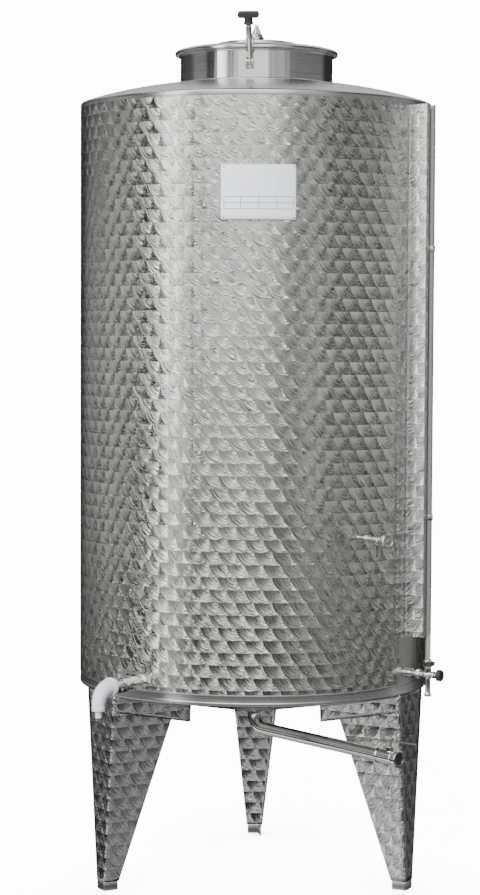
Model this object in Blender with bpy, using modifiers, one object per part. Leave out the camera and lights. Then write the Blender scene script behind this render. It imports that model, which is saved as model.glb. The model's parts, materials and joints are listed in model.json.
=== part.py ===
# Vertical storage tank in stainless steel: a plain cylinder on three folded sheet legs, with a
# manhole on top, a level gauge behind a guard, a sample tap, a partial drain and a total drain.
# Metres, +Z up, floor at z = 0. The front looks along -Y. An azimuth is counted from the front
# towards the right-hand side, so the direction outwards is (sin a, -cos a).
import math

import bmesh
import bpy
import numpy as np

# Driving dimensions of the vessel
SHELL_RADIUS = 0.460
SHEET = 0.0015
GAP = 0.0003
RIM_BOTTOM = 0.5145
RIM_TOP = 2.0260
TOP_BAND = 0.0145
BOTTOM_BAND = 0.0290
ROUND_STEPS = 72
QUARTERS = {"shell_front": 0.0, "shell_right": 90.0, "shell_back": 180.0, "shell_left": 270.0}

# Top and bottom ends
DOME_RISE = 0.0520
DOME_POWER = 2.6
CONE_DROP = 0.090
OUTLET_RADIUS = 0.0160

# Manhole
NECK_RADIUS = 0.1993
NECK_BOTTOM = 2.0700
NECK_TOP = 2.1480
LID_BASE = 2.1435
LID_RADIUS = 0.2132
LID_LIFT = 0.0465
VENT_RADIUS = 0.0215
VENT_SEAT = 0.0165
VENT_HEIGHT = 0.0470

# Clamp at the front of the manhole
CLAMP_AZIMUTH = -4.7
CLAMP_PIVOT_RADIUS = 0.2220
CLAMP_PIVOT_HEIGHT = 2.1180
CLAMP_LEAN = 20.0
BOLT_LENGTH = 0.1280
BOLT_ROD_RADIUS = 0.0045
LUG_TOP = 2.1770
EAR_HALF_WIDTH = 0.0097
EAR_SLOT_HALF = 0.0053
PIN_RADIUS = 0.0030
PIN_PLAY = 0.0001

# Lid hinge at the back of the manhole
HINGE_RADIUS = 0.2300
HINGE_HEIGHT = 2.1520
HINGE_HALF_WIDTH = 0.0240
HINGE_STRAP_HALF = 0.0175

# Level gauge
GAUGE_AZIMUTH = 59.25
GUARD_BOTTOM = 0.6650
GUARD_TOP = 2.0080
GUARD_HALF_WIDTH = 0.0225
GUARD_REACH = 0.5110
GUARD_FLANGE = 0.0380
GUARD_LIP = 0.0115
GAUGE_TUBE_CENTRE = 0.5150
GAUGE_TUBE_RADIUS = 0.0075
GAUGE_VALVE_HEIGHT = 0.5680
GAUGE_NUT_TOP = 0.6060
GAUGE_KNOB_START = 0.5400
GAUGE_TUBE_TOP = 1.9950
CLIP_HEIGHTS = {"gauge_clip_lower": 0.969, "gauge_clip_upper": 1.647}

# Sample tap
SAMPLE_AZIMUTH = 34.5
SAMPLE_HEIGHT = 0.9270
SAMPLE_KNOB_RADIUS = 0.0180
SAMPLE_KNOB_START = 0.5640

# Partial drain
DRAIN_AZIMUTH = -37.5
DRAIN_HEIGHT = 0.5625
DRAIN_STEM = 0.5430
DRAIN_VALVE_START = 0.4903
DRAIN_VALVE_END = 0.5740
DRAIN_LEVER = 0.0650
DRAIN_LEVER_RISE = 0.0340
ELBOW_CENTRE = 0.6235
ELBOW_COLLAR = 0.0235
ELBOW_INLET = 0.0210
ELBOW_OUTLET = 0.0160

# Total drain
TOTAL_AZIMUTH = 45.0
TOTAL_SLOPE = 2.0
TOTAL_AXIS_HEIGHT = 0.3870
TOTAL_PIPE_RADIUS = 0.0166
TOTAL_BEND = 0.0400
TOTAL_PIPE_END = 0.4445
TOTAL_STEM = 0.4820
TOTAL_END = 0.5173
TOTAL_LEVER = 0.0880
TOTAL_LEVER_RISE = 0.0390
TOTAL_LEVER_LIFT = 4.4
LEVER_SHEET = 0.0025

# Name plate
PLATE_AZIMUTH = 0.8
PLATE_SPAN = 23.0
PLATE_BOTTOM = 1.7085
PLATE_TOP = 1.8440

# Legs: a tangential face and a folded wing that runs in under the cone
LEG_SHEET = 0.0020
LEG_DISTANCE = 0.4495
LEG_TOP_HALF = 0.0753
LEG_FOOT_HALF = 0.0185
LEG_STRIP_REACH = 0.2225
LEG_STRIP_DROP = 0.0439
LEG_WING_REACH = 0.1668
LEG_WING_FOOT = 0.0399
LEG_SEAT = 0.0008
FOOT_HEIGHT = 0.0230
FOOT_THICKNESS = 0.0060
LEGS = {"right": (63.5, -1.0), "left": (-60.2, 1.0), "back": (179.5, -1.0)}

COLLECTION_NAME = "vertical_storage_tank"
CUTTER_COLLECTION_NAME = "construction_tools"


def clear_scene():
    for obj in list(bpy.data.objects):
        bpy.data.objects.remove(obj, do_unlink=True)


def new_collection(name):
    collection = bpy.data.collections.new(name)
    bpy.context.scene.collection.children.link(collection)
    return collection


clear_scene()
PARTS = new_collection(COLLECTION_NAME)
TOOLS = new_collection(CUTTER_COLLECTION_NAME)


# Finishes
def finish(name, colour, metallic, roughness):
    material = bpy.data.materials.new(name)
    material.use_nodes = True
    shader = material.node_tree.nodes["Principled BSDF"]
    shader.inputs["Base Color"].default_value = (*colour, 1.0)
    shader.inputs["Metallic"].default_value = metallic
    shader.inputs["Roughness"].default_value = roughness
    return material


SWIRLED = finish("swirled_steel", (0.62, 0.62, 0.60), 1.0, 0.34)
BRUSHED = finish("brushed_steel", (0.66, 0.66, 0.65), 1.0, 0.28)
POLISHED = finish("polished_steel", (0.74, 0.74, 0.73), 1.0, 0.14)
BLACK_PLASTIC = finish("black_plastic", (0.03, 0.03, 0.03), 0.0, 0.42)
WHITE_PLASTIC = finish("white_plastic", (0.80, 0.79, 0.82), 0.0, 0.38)
WHITE_RUBBER = finish("white_rubber", (0.78, 0.77, 0.73), 0.0, 0.62)
CLEAR_TUBE = finish("clear_tube", (0.70, 0.74, 0.70), 0.0, 0.12)
PLATE_METAL = finish("plate_aluminium", (0.80, 0.81, 0.84), 0.6, 0.35)


# Frames that the pieces hang on
def frame_at(name, parent=None, location=(0.0, 0.0, 0.0), azimuth=None, tilt=0.0):
    """An empty whose local X points outwards at the azimuth, tilted down by the tilt in degrees."""
    empty = bpy.data.objects.new(name, None)
    empty.location = location
    if azimuth is not None:
        empty.rotation_euler = (0.0, math.radians(tilt), math.radians(azimuth - 90.0))
    empty.parent = parent
    PARTS.objects.link(empty)
    return empty


def adopt(obj, parent, material, location=(0.0, 0.0, 0.0), rotation=(0.0, 0.0, 0.0), sharp=30.0):
    """Put a piece on its frame, give it its finish and shade it smooth up to the sharp angle."""
    obj.parent = parent
    obj.location = location
    obj.rotation_euler = rotation
    obj.data.materials.clear()
    obj.data.materials.append(material)
    if obj.type == "MESH":
        obj.data.shade_smooth()
        obj.data.set_sharp_from_angle(angle=math.radians(sharp))
    return obj


def link_part(name, data):
    obj = bpy.data.objects.new(name, data)
    PARTS.objects.link(obj)
    return obj


def make_tool(obj):
    """Move a cutter or a joined shape to the tools, where it isn't rendered."""
    for collection in list(obj.users_collection):
        collection.objects.unlink(obj)
    TOOLS.objects.link(obj)
    obj.hide_render = True
    obj.display_type = "WIRE"
    return obj


def boolean(obj, tool, operation):
    make_tool(tool)
    modifier = obj.modifiers.new(operation.lower(), "BOOLEAN")
    modifier.operation = operation
    modifier.solver = "EXACT"
    modifier.object = tool
    return obj


# Shapes
def turned(name, profile, closed=False, steps=ROUND_STEPS, angle=360.0):
    """A profile of (radius, height) points, outer side from top to bottom, turned about local Z."""
    mesh = bpy.data.meshes.new(name)
    edges = [(i, i + 1) for i in range(len(profile) - 1)]
    if closed:
        edges.append((len(profile) - 1, 0))
    mesh.from_pydata([(r, 0.0, z) for r, z in profile], edges, [])
    obj = link_part(name, mesh)
    screw = obj.modifiers.new("turn", "SCREW")
    screw.axis = "Z"
    screw.angle = math.radians(angle)
    screw.steps = steps
    screw.render_steps = steps
    screw.use_merge_vertices = True
    screw.merge_threshold = 0.00005
    return obj


def cylinder(name, radius, low, high, steps=24):
    """A solid cylinder on local Z from low to high."""
    mesh = bpy.data.meshes.new(name)
    builder = bmesh.new()
    bmesh.ops.create_cone(builder, cap_ends=True, segments=steps, radius1=radius, radius2=radius,
                          depth=high - low)
    bmesh.ops.translate(builder, verts=builder.verts, vec=(0.0, 0.0, (low + high) / 2))
    builder.to_mesh(mesh)
    builder.free()
    return link_part(name, mesh)


def block(name, low, high):
    """A box between two corners."""
    mesh = bpy.data.meshes.new(name)
    builder = bmesh.new()
    bmesh.ops.create_cube(builder, size=1.0)
    bmesh.ops.scale(builder, verts=builder.verts, vec=[b - a for a, b in zip(low, high)])
    bmesh.ops.translate(builder, verts=builder.verts, vec=[(a + b) / 2 for a, b in zip(low, high)])
    builder.to_mesh(mesh)
    builder.free()
    return link_part(name, mesh)


def side_plate(name, outline, half_width):
    """An outline of (outward, up) points as a plate of full width across the tangential direction."""
    curve = bpy.data.curves.new(name + "_outline", "CURVE")
    curve.dimensions = "2D"
    curve.fill_mode = "BOTH"
    curve.extrude = half_width
    spline = curve.splines.new("POLY")
    spline.points.add(len(outline) - 1)
    spline.use_cyclic_u = True
    for point, (x, z) in zip(spline.points, outline):
        point.co = (x, z, 0.0, 1.0)
    flat = link_part(name + "_outline", curve)
    flat.rotation_euler = (math.pi / 2, 0.0, 0.0)
    bpy.context.view_layer.update()
    shape = flat.evaluated_get(bpy.context.evaluated_depsgraph_get())
    mesh = bpy.data.meshes.new_from_object(shape)
    mesh.transform(flat.matrix_world)
    bpy.data.objects.remove(flat, do_unlink=True)
    builder = bmesh.new()
    builder.from_mesh(mesh)
    bmesh.ops.remove_doubles(builder, verts=builder.verts, dist=0.00001)
    builder.to_mesh(mesh)
    builder.free()
    return link_part(name, mesh)


def bent_sheet(name, points, faces, thickness):
    """An open sheet from a few flat faces, thickened towards its inner side."""
    mesh = bpy.data.meshes.new(name)
    mesh.from_pydata(points, [], faces)
    obj = link_part(name, mesh)
    solidify = obj.modifiers.new("thickness", "SOLIDIFY")
    solidify.thickness = thickness
    solidify.offset = -1.0
    solidify.use_even_offset = True
    return obj


def tube(name, stations, sides=3):
    """A rod or pipe through (x, y, z, radius) stations, with filled ends."""
    curve = bpy.data.curves.new(name, "CURVE")
    curve.dimensions = "3D"
    curve.bevel_depth = 1.0
    curve.bevel_resolution = sides
    curve.use_fill_caps = True
    curve.twist_mode = "Z_UP"
    spline = curve.splines.new("POLY")
    spline.points.add(len(stations) - 1)
    for point, (x, y, z, radius) in zip(spline.points, stations):
        point.co = (x, y, z, 1.0)
        point.radius = radius
    return link_part(name, curve)


def stepped(stations):
    """Solid turned profile through (height, radius) stations listed from the top down."""
    profile = [(0.0, stations[0][0])]
    profile += [(radius, height) for height, radius in stations]
    profile.append((0.0, stations[-1][0]))
    return profile


# The vessel
def dome_height(radius):
    """Height of the dome's outer skin: a shallow dish that steepens towards its edge."""
    share = 1.0 - (radius / SHELL_RADIUS) ** DOME_POWER
    full = 1.0 - (NECK_RADIUS / SHELL_RADIUS) ** DOME_POWER
    return RIM_TOP + DOME_RISE * share / full


def cone_under(radius):
    """Height of the bottom cone's underside."""
    slope = CONE_DROP / SHELL_RADIUS
    return RIM_BOTTOM + 0.0005 - slope * (SHELL_RADIUS - radius)


def build_shell(axis):
    """Four quarters of the rolled shell, between the bands of the two ends."""
    low = RIM_BOTTOM + BOTTOM_BAND
    high = RIM_TOP - TOP_BAND
    span = 90.0 - math.degrees(GAP / SHELL_RADIUS)
    for name, azimuth in QUARTERS.items():
        line = [(SHELL_RADIUS, high), (SHELL_RADIUS, low)]
        obj = turned(name, line, steps=ROUND_STEPS // 4, angle=span)
        solidify = obj.modifiers.new("thickness", "SOLIDIFY")
        solidify.thickness = SHEET
        solidify.offset = -1.0
        adopt(obj, axis, SWIRLED, rotation=(0.0, 0.0, math.radians(azimuth - 90.0 - span / 2)))


def build_top_head(axis):
    """Top band and shallow dome with the round hole for the neck."""
    radii = np.linspace(SHELL_RADIUS, NECK_RADIUS + GAP, 9)
    outer = [(float(r), dome_height(float(r))) for r in radii]
    inner = [(r - 0.0004, z - SHEET) for r, z in outer[1:]]
    low = RIM_TOP - TOP_BAND + GAP
    profile = list(reversed(outer)) + [(SHELL_RADIUS, low), (SHELL_RADIUS - SHEET, low)]
    profile += [(SHELL_RADIUS - SHEET, RIM_TOP - 0.001)] + inner[:-1]
    profile += [(NECK_RADIUS + GAP, inner[-1][1])]
    adopt(turned("top_head", profile, closed=True), axis, BRUSHED)


def build_bottom_head(axis):
    """Bottom band and shallow cone down to the outlet."""
    high = RIM_BOTTOM + BOTTOM_BAND - GAP
    inner_radius = SHELL_RADIUS - SHEET
    profile = [
        (SHELL_RADIUS, high),
        (SHELL_RADIUS, RIM_BOTTOM),
        (inner_radius, RIM_BOTTOM),
        (OUTLET_RADIUS, cone_under(OUTLET_RADIUS)),
        (OUTLET_RADIUS, cone_under(OUTLET_RADIUS) + SHEET),
        (inner_radius, cone_under(inner_radius) + SHEET + 0.001),
        (inner_radius, high),
    ]
    adopt(turned("bottom_head", profile, closed=True), axis, BRUSHED)


# The manhole
def build_neck(axis):
    inner = NECK_RADIUS - SHEET
    profile = [(NECK_RADIUS, NECK_TOP), (NECK_RADIUS, NECK_BOTTOM), (inner, NECK_BOTTOM), (inner, NECK_TOP)]
    adopt(turned("manhole_neck", profile, closed=True), axis, POLISHED)


def lid_skin():
    """Outer and inner points of the lid's pressed skin, relative to the hinge frame's lid base."""
    outer = [
        (0.0, LID_LIFT),
        (0.1000, LID_LIFT - 0.0005),
        (0.1040, 0.0420),
        (0.1713, 0.0365),
        (0.2094, 0.0240),
        (LID_RADIUS, 0.0170),
        (LID_RADIUS, 0.0),
    ]
    inner = [
        (LID_RADIUS - SHEET, 0.0),
        (LID_RADIUS - SHEET, 0.0160),
        (0.2083, 0.0224),
        (0.1713, 0.0350),
        (0.1035, 0.0405),
        (0.0993, 0.0445),
        (0.0, 0.0450),
    ]
    return outer, inner


def build_lid(hinge):
    """The lid, its gasket, lug, hinge strap and vent, all on the hinge's frame."""
    centre = (-HINGE_RADIUS, 0.0, LID_BASE - HINGE_HEIGHT)
    outer, inner = lid_skin()
    adopt(turned("lid", outer + inner), hinge, BRUSHED, location=centre)
    low = NECK_TOP + GAP - LID_BASE
    seat = [(0.1940, 0.0269), (0.2080, 0.0221), (0.2113, 0.0157), (0.2113, low), (0.1940, low)]
    adopt(turned("lid_gasket", seat, closed=True), hinge, WHITE_RUBBER, location=centre)
    low = LID_LIFT + GAP
    high = LID_LIFT + VENT_SEAT
    seat = [(high, VENT_RADIUS - 0.003), (high - 0.003, VENT_RADIUS), (low, VENT_RADIUS)]
    adopt(turned("vent_seat", stepped(seat), steps=24), hinge, POLISHED, location=centre)
    low = high + GAP
    high = LID_LIFT + VENT_HEIGHT
    cap = [(high, 0.0035), (high - 0.0125, 0.0085), (low + 0.0055, 0.0153), (low, 0.0165)]
    adopt(turned("vent_cap", stepped(cap), steps=24), hinge, POLISHED, location=centre)
    build_hinge_strap(hinge)
    build_lid_lug(hinge)


def build_hinge_strap(hinge):
    """Strap welded to the lid's rim, with the knuckle round the pin."""
    rim = LID_RADIUS - HINGE_RADIUS + GAP
    outline = [(rim, -0.0070), (rim, 0.0070), (-0.003, 0.0065), (-0.003, -0.0065)]
    strap = side_plate("hinge_strap", outline, HINGE_STRAP_HALF)
    knuckle = cylinder("hinge_knuckle_form", 0.0070, -HINGE_STRAP_HALF, HINGE_STRAP_HALF)
    adopt(knuckle, hinge, POLISHED, rotation=(math.pi / 2, 0.0, 0.0))
    hole = cylinder("hinge_knuckle_hole", PIN_RADIUS + PIN_PLAY, -0.03, 0.03)
    adopt(hole, hinge, POLISHED, rotation=(math.pi / 2, 0.0, 0.0))
    adopt(strap, hinge, POLISHED)
    boolean(strap, knuckle, "UNION")
    boolean(strap, hole, "DIFFERENCE")


def build_lid_lug(hinge):
    """Fork on the lid's front edge that the clamp's rod swings into."""
    clamp = frame_at("lid_lug_frame", hinge, (-HINGE_RADIUS, 0.0, -HINGE_HEIGHT))
    clamp.rotation_euler = (0.0, 0.0, math.radians(CLAMP_AZIMUTH - 180.0))
    top = LUG_TOP
    outline = [
        (LID_RADIUS + GAP, LID_BASE + 0.0010),
        (0.2305, 2.1560),
        (0.2305, top),
        (0.2050, top),
        (0.2050, LID_BASE + 0.0258),
        (0.2096, LID_BASE + 0.0243),
        (LID_RADIUS + GAP, LID_BASE + 0.0173),
    ]
    lug = side_plate("lid_lug", outline, 0.0105)
    slot = block("lid_lug_slot", (0.2155, -0.0055, 2.10), (0.24, 0.0055, 2.20))
    adopt(lug, clamp, POLISHED)
    adopt(slot, clamp, POLISHED)
    boolean(lug, slot, "DIFFERENCE")


def neck_bracket(name, frame, outline, half_width, slot, pivot):
    """Two ears on a base that fits the neck: a plate with a slot and a pin hole cut in it."""
    start, half = slot
    bracket = side_plate(name, outline, half_width)
    slot = block(name + "_slot", (start, -half, NECK_BOTTOM), (HINGE_RADIUS + 0.03, half, NECK_TOP + 0.05))
    saddle = cylinder(name + "_saddle", NECK_RADIUS + GAP, NECK_BOTTOM, NECK_TOP + 0.05, steps=ROUND_STEPS)
    hole = cylinder(name + "_hole", PIN_RADIUS + PIN_PLAY, -0.04, 0.04)
    adopt(bracket, frame, POLISHED)
    adopt(slot, frame, POLISHED)
    adopt(saddle, frame, POLISHED)
    adopt(hole, frame, POLISHED, location=(pivot[0], 0.0, pivot[1]), rotation=(math.pi / 2, 0.0, 0.0))
    for tool in (slot, saddle, hole):
        boolean(bracket, tool, "DIFFERENCE")
    return bracket


def build_hinge_bracket(axis):
    back = frame_at("hinge_bracket_frame", axis, azimuth=180.0)
    outline = [
        (0.1900, 2.1050),
        (0.2150, 2.1050),
        (0.2380, 2.1400),
        (0.2380, 2.1600),
        (0.2220, 2.1600),
        (0.2190, 2.1380),
        (0.2030, 2.1320),
        (0.1900, 2.1320),
    ]
    pivot = (HINGE_RADIUS, HINGE_HEIGHT)
    slot = (0.2060, HINGE_STRAP_HALF + GAP)
    neck_bracket("hinge_bracket", back, outline, HINGE_HALF_WIDTH, slot, pivot)
    pin = cylinder("hinge_pin", PIN_RADIUS, -0.0260, 0.0260)
    adopt(pin, back, POLISHED, location=(pivot[0], 0.0, pivot[1]), rotation=(math.pi / 2, 0.0, 0.0))


def build_clamp_ears(axis):
    front = frame_at("clamp_frame", axis, azimuth=CLAMP_AZIMUTH)
    outline = [
        (0.1900, 2.1030),
        (0.2180, 2.1030),
        (0.2300, 2.1120),
        (0.2300, 2.1240),
        (0.2240, 2.1300),
        (0.1900, 2.1300),
    ]
    pivot = (CLAMP_PIVOT_RADIUS, CLAMP_PIVOT_HEIGHT)
    neck_bracket("clamp_ears", front, outline, EAR_HALF_WIDTH, (0.2065, EAR_SLOT_HALF), pivot)
    pin = cylinder("clamp_pin", PIN_RADIUS, -0.0115, 0.0115)
    adopt(pin, front, POLISHED, location=(pivot[0], 0.0, pivot[1]), rotation=(math.pi / 2, 0.0, 0.0))
    return front


def build_swing_bolt(front):
    """Rod with its eye on the clamp's pivot, sleeve and T-shaped hand knob, leaning out slackened."""
    pivot = frame_at("swing_bolt_pivot", front, (CLAMP_PIVOT_RADIUS, 0.0, CLAMP_PIVOT_HEIGHT))
    pivot.rotation_euler = (0.0, math.radians(CLAMP_LEAN), 0.0)
    knob_low = BOLT_LENGTH - 0.0330
    rod = [(knob_low - GAP, 0.0075), (0.0620, 0.0075), (0.0620, BOLT_ROD_RADIUS), (0.0, BOLT_ROD_RADIUS)]
    bolt = turned("swing_bolt", stepped(rod), steps=24)
    eye = cylinder("swing_bolt_eye", 0.0070, -0.0050, 0.0050)
    hole = cylinder("swing_bolt_hole", PIN_RADIUS + PIN_PLAY, -0.03, 0.03)
    adopt(bolt, pivot, POLISHED)
    adopt(eye, pivot, POLISHED, rotation=(math.pi / 2, 0.0, 0.0))
    adopt(hole, pivot, POLISHED, rotation=(math.pi / 2, 0.0, 0.0))
    boolean(bolt, eye, "UNION")
    boolean(bolt, hole, "DIFFERENCE")
    bar = block("clamp_knob", (-0.0085, -0.0270, BOLT_LENGTH - 0.0170), (0.0085, 0.0270, BOLT_LENGTH))
    bevel = bar.modifiers.new("soft_edges", "BEVEL")
    bevel.width = 0.0050
    bevel.segments = 3
    hub = turned("clamp_knob_hub", stepped([(BOLT_LENGTH - 0.010, 0.0095), (knob_low, 0.0115)]), steps=24)
    adopt(bar, pivot, BLACK_PLASTIC)
    adopt(hub, pivot, BLACK_PLASTIC)
    boolean(bar, hub, "UNION")


# The level gauge
def guard_rail(name, frame, side):
    """One folded rail of the guard: foot on the shell, wall outwards, lip turned in."""
    foot = SHELL_RADIUS + GAP
    turns = np.linspace(GUARD_HALF_WIDTH + GUARD_FLANGE, GUARD_HALF_WIDTH, 5) / foot
    plan = [(foot * math.cos(t), side * foot * math.sin(t)) for t in turns]
    plan.append((GUARD_REACH, side * GUARD_HALF_WIDTH))
    plan.append((GUARD_REACH, side * (GUARD_HALF_WIDTH - GUARD_LIP)))
    points = [(x, y, GUARD_BOTTOM) for x, y in plan] + [(x, y, GUARD_TOP) for x, y in plan]
    count = len(plan)
    faces = [(i, i + 1, count + i + 1, count + i) for i in range(count - 1)]
    if side < 0:
        faces = [tuple(reversed(face)) for face in faces]
    rail = bent_sheet(name, points, faces, SHEET)
    adopt(rail, frame, SWIRLED, sharp=20.0)


def build_gauge(axis):
    """Guard, sight tube, clips and the valve at the gauge's foot."""
    frame = frame_at("gauge_frame", axis, azimuth=GAUGE_AZIMUTH)
    guard_rail("gauge_guard_near", frame, -1.0)
    guard_rail("gauge_guard_far", frame, 1.0)
    sight = cylinder("gauge_tube", GAUGE_TUBE_RADIUS, GAUGE_NUT_TOP + GAP, GAUGE_TUBE_TOP)
    adopt(sight, frame, CLEAR_TUBE, location=(GAUGE_TUBE_CENTRE, 0.0, 0.0))
    for name, height in CLIP_HEIGHTS.items():
        gauge_clip(name, frame, height)
    build_gauge_valve(frame)


def gauge_clip(name, frame, height):
    """Stud on the shell with a ring round the sight tube."""
    inner = GAUGE_TUBE_RADIUS + GAP
    profile = [(inner + 0.0020, 0.0070), (inner + 0.0020, -0.0070), (inner, -0.0070), (inner, 0.0070)]
    ring = turned(name, profile, closed=True, steps=24)
    reach = GAUGE_TUBE_CENTRE - inner - 0.0010 - SHELL_RADIUS
    stud = cylinder(name + "_stud", 0.0035, GAP, reach, steps=12)
    adopt(ring, frame, POLISHED, location=(GAUGE_TUBE_CENTRE, 0.0, height))
    adopt(stud, frame, POLISHED, location=(SHELL_RADIUS, 0.0, height), rotation=(0.0, math.pi / 2, 0.0))
    boolean(ring, stud, "UNION")


def build_gauge_valve(frame):
    valve = frame_at("gauge_valve_frame", frame, (0.0, 0.0, GAUGE_VALVE_HEIGHT))
    along = (0.0, math.pi / 2, 0.0)
    run = [
        (GAUGE_KNOB_START, 0.0055),
        (GAUGE_TUBE_CENTRE + 0.0200, 0.0055),
        (GAUGE_TUBE_CENTRE + 0.0200, 0.0090),
        (0.4740, 0.0080),
        (0.4740, 0.0120),
        (SHELL_RADIUS + GAP, 0.0120),
    ]
    body = turned("gauge_valve_body", stepped(run), steps=24)
    adopt(body, valve, POLISHED, rotation=along)
    low = -0.0560
    drop = [(0.0210, 0.0085), (low + 0.0080, 0.0080), (low + 0.0080, 0.0095), (low, 0.0095)]
    spout = turned("gauge_spout_form", stepped(drop), steps=24)
    adopt(spout, valve, POLISHED, location=(GAUGE_TUBE_CENTRE, 0.0, 0.0))
    boolean(body, spout, "UNION")
    nut_high = GAUGE_NUT_TOP - GAUGE_VALVE_HEIGHT
    nut_steps = [(nut_high, 0.0100), (nut_high - 0.004, 0.0130), (0.0213, 0.0130)]
    nut = turned("gauge_tube_nut", stepped(nut_steps), steps=12)
    adopt(nut, valve, POLISHED, location=(GAUGE_TUBE_CENTRE, 0.0, 0.0))
    knob = turned("gauge_valve_knob", stepped([(0.0150, 0.0130), (0.0120, 0.0150), (0.0, 0.0150)]), steps=24)
    adopt(knob, valve, BLACK_PLASTIC, location=(GAUGE_KNOB_START + GAP, 0.0, 0.0), rotation=along)


# The sample tap
def build_sample_tap(axis):
    tap = frame_at("sample_tap_frame", axis, (0.0, 0.0, SAMPLE_HEIGHT), SAMPLE_AZIMUTH)
    along = (0.0, math.pi / 2, 0.0)
    boss = turned("sample_tap_boss", stepped([(0.4890, 0.0075), (SHELL_RADIUS + GAP, 0.0060)]), steps=24)
    adopt(boss, tap, POLISHED, rotation=along)
    run = [
        (SAMPLE_KNOB_START, 0.0045),
        (0.5510, 0.0045),
        (0.5510, 0.0080),
        (0.5200, 0.0075),
        (0.5200, 0.0105),
        (0.4890 + GAP, 0.0105),
    ]
    body = turned("sample_tap_body", stepped(run), steps=24)
    adopt(body, tap, POLISHED, rotation=along)
    spout = cylinder("sample_tap_spout_form", 0.0040, -0.0440, -0.0020, steps=16)
    adopt(spout, tap, POLISHED, location=(0.5375, 0.0, 0.0))
    boolean(body, spout, "UNION")
    rim = SAMPLE_KNOB_RADIUS
    face = [(0.0140, rim - 0.0020), (0.0120, rim), (0.0, rim - 0.0030)]
    knob = turned("sample_tap_knob", stepped(face), steps=32)
    adopt(knob, tap, POLISHED, location=(SAMPLE_KNOB_START + GAP, 0.0, 0.0), rotation=along)


# The partial drain
def build_partial_drain(axis):
    """Ball valve on a short nipple, closed, with a white elbow that turns down."""
    frame = frame_at("drain_frame", axis, (0.0, 0.0, DRAIN_HEIGHT), DRAIN_AZIMUTH)
    along = (0.0, math.pi / 2, 0.0)
    steps = [
        (DRAIN_VALVE_START - GAP, 0.0140),
        (0.4660, 0.0140),
        (0.4660, 0.0190),
        (SHELL_RADIUS + GAP, 0.0190),
    ]
    adopt(turned("drain_nipple", stepped(steps), steps=24), frame, POLISHED, rotation=along)
    middle = DRAIN_STEM
    run = [
        (DRAIN_VALVE_END, 0.0180),
        (middle + 0.0160, 0.0180),
        (middle + 0.0110, 0.0200),
        (middle - 0.0110, 0.0200),
        (middle - 0.0180, 0.0170),
        (DRAIN_VALVE_START + 0.0150, 0.0170),
        (DRAIN_VALVE_START + 0.0150, 0.0190),
        (DRAIN_VALVE_START, 0.0190),
    ]
    body = turned("drain_valve_body", stepped(run), steps=24)
    stem = cylinder("drain_stem_form", 0.0070, 0.0100, DRAIN_LEVER_RISE - 0.0040)
    adopt(body, frame, POLISHED, rotation=along)
    adopt(stem, frame, POLISHED, location=(middle, 0.0, 0.0))
    boolean(body, stem, "UNION")
    build_drain_lever(frame)
    adopt(tube("drain_elbow", elbow_stations(), sides=4), frame, WHITE_PLASTIC)


def build_drain_lever(frame):
    """Flat lever on top of the stem, across the pipe because the valve is closed."""
    pivot = frame_at("drain_lever_pivot", frame, (DRAIN_STEM, 0.0, 0.0))
    low = DRAIN_LEVER_RISE
    lever = block("drain_lever", (-0.0060, -0.0080, low), (0.0060, DRAIN_LEVER, low + LEVER_SHEET))
    hub = cylinder("drain_lever_hub", 0.0080, low - 0.0037, low + 0.0090, steps=12)
    adopt(lever, pivot, POLISHED)
    adopt(hub, pivot, POLISHED)
    boolean(lever, hub, "UNION")


def elbow_stations():
    """Collar, tapering quarter bend, lower collar and hose nozzle of the white elbow."""
    bend = 0.0380
    start = ELBOW_CENTRE - bend
    mouth = ((DRAIN_VALVE_END + GAP, ELBOW_COLLAR), (0.5830, ELBOW_COLLAR), (0.5835, ELBOW_INLET))
    stations = [(x, 0.0, 0.0, radius) for x, radius in mouth]
    steps = 8
    for step in range(steps + 1):
        turn = math.pi / 2 * step / steps
        radius = ELBOW_INLET - (ELBOW_INLET - ELBOW_OUTLET) * step / steps
        stations.append((start + bend * math.sin(turn), 0.0, -bend * (1 - math.cos(turn)), radius))
    collar = ELBOW_OUTLET + 0.0010
    ends = ((0.0420, ELBOW_OUTLET), (0.0425, collar), (0.0530, collar), (0.0535, 0.0085), (0.0705, 0.0080))
    for drop, radius in ends:
        stations.append((ELBOW_CENTRE, 0.0, -drop, radius))
    return stations


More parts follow.
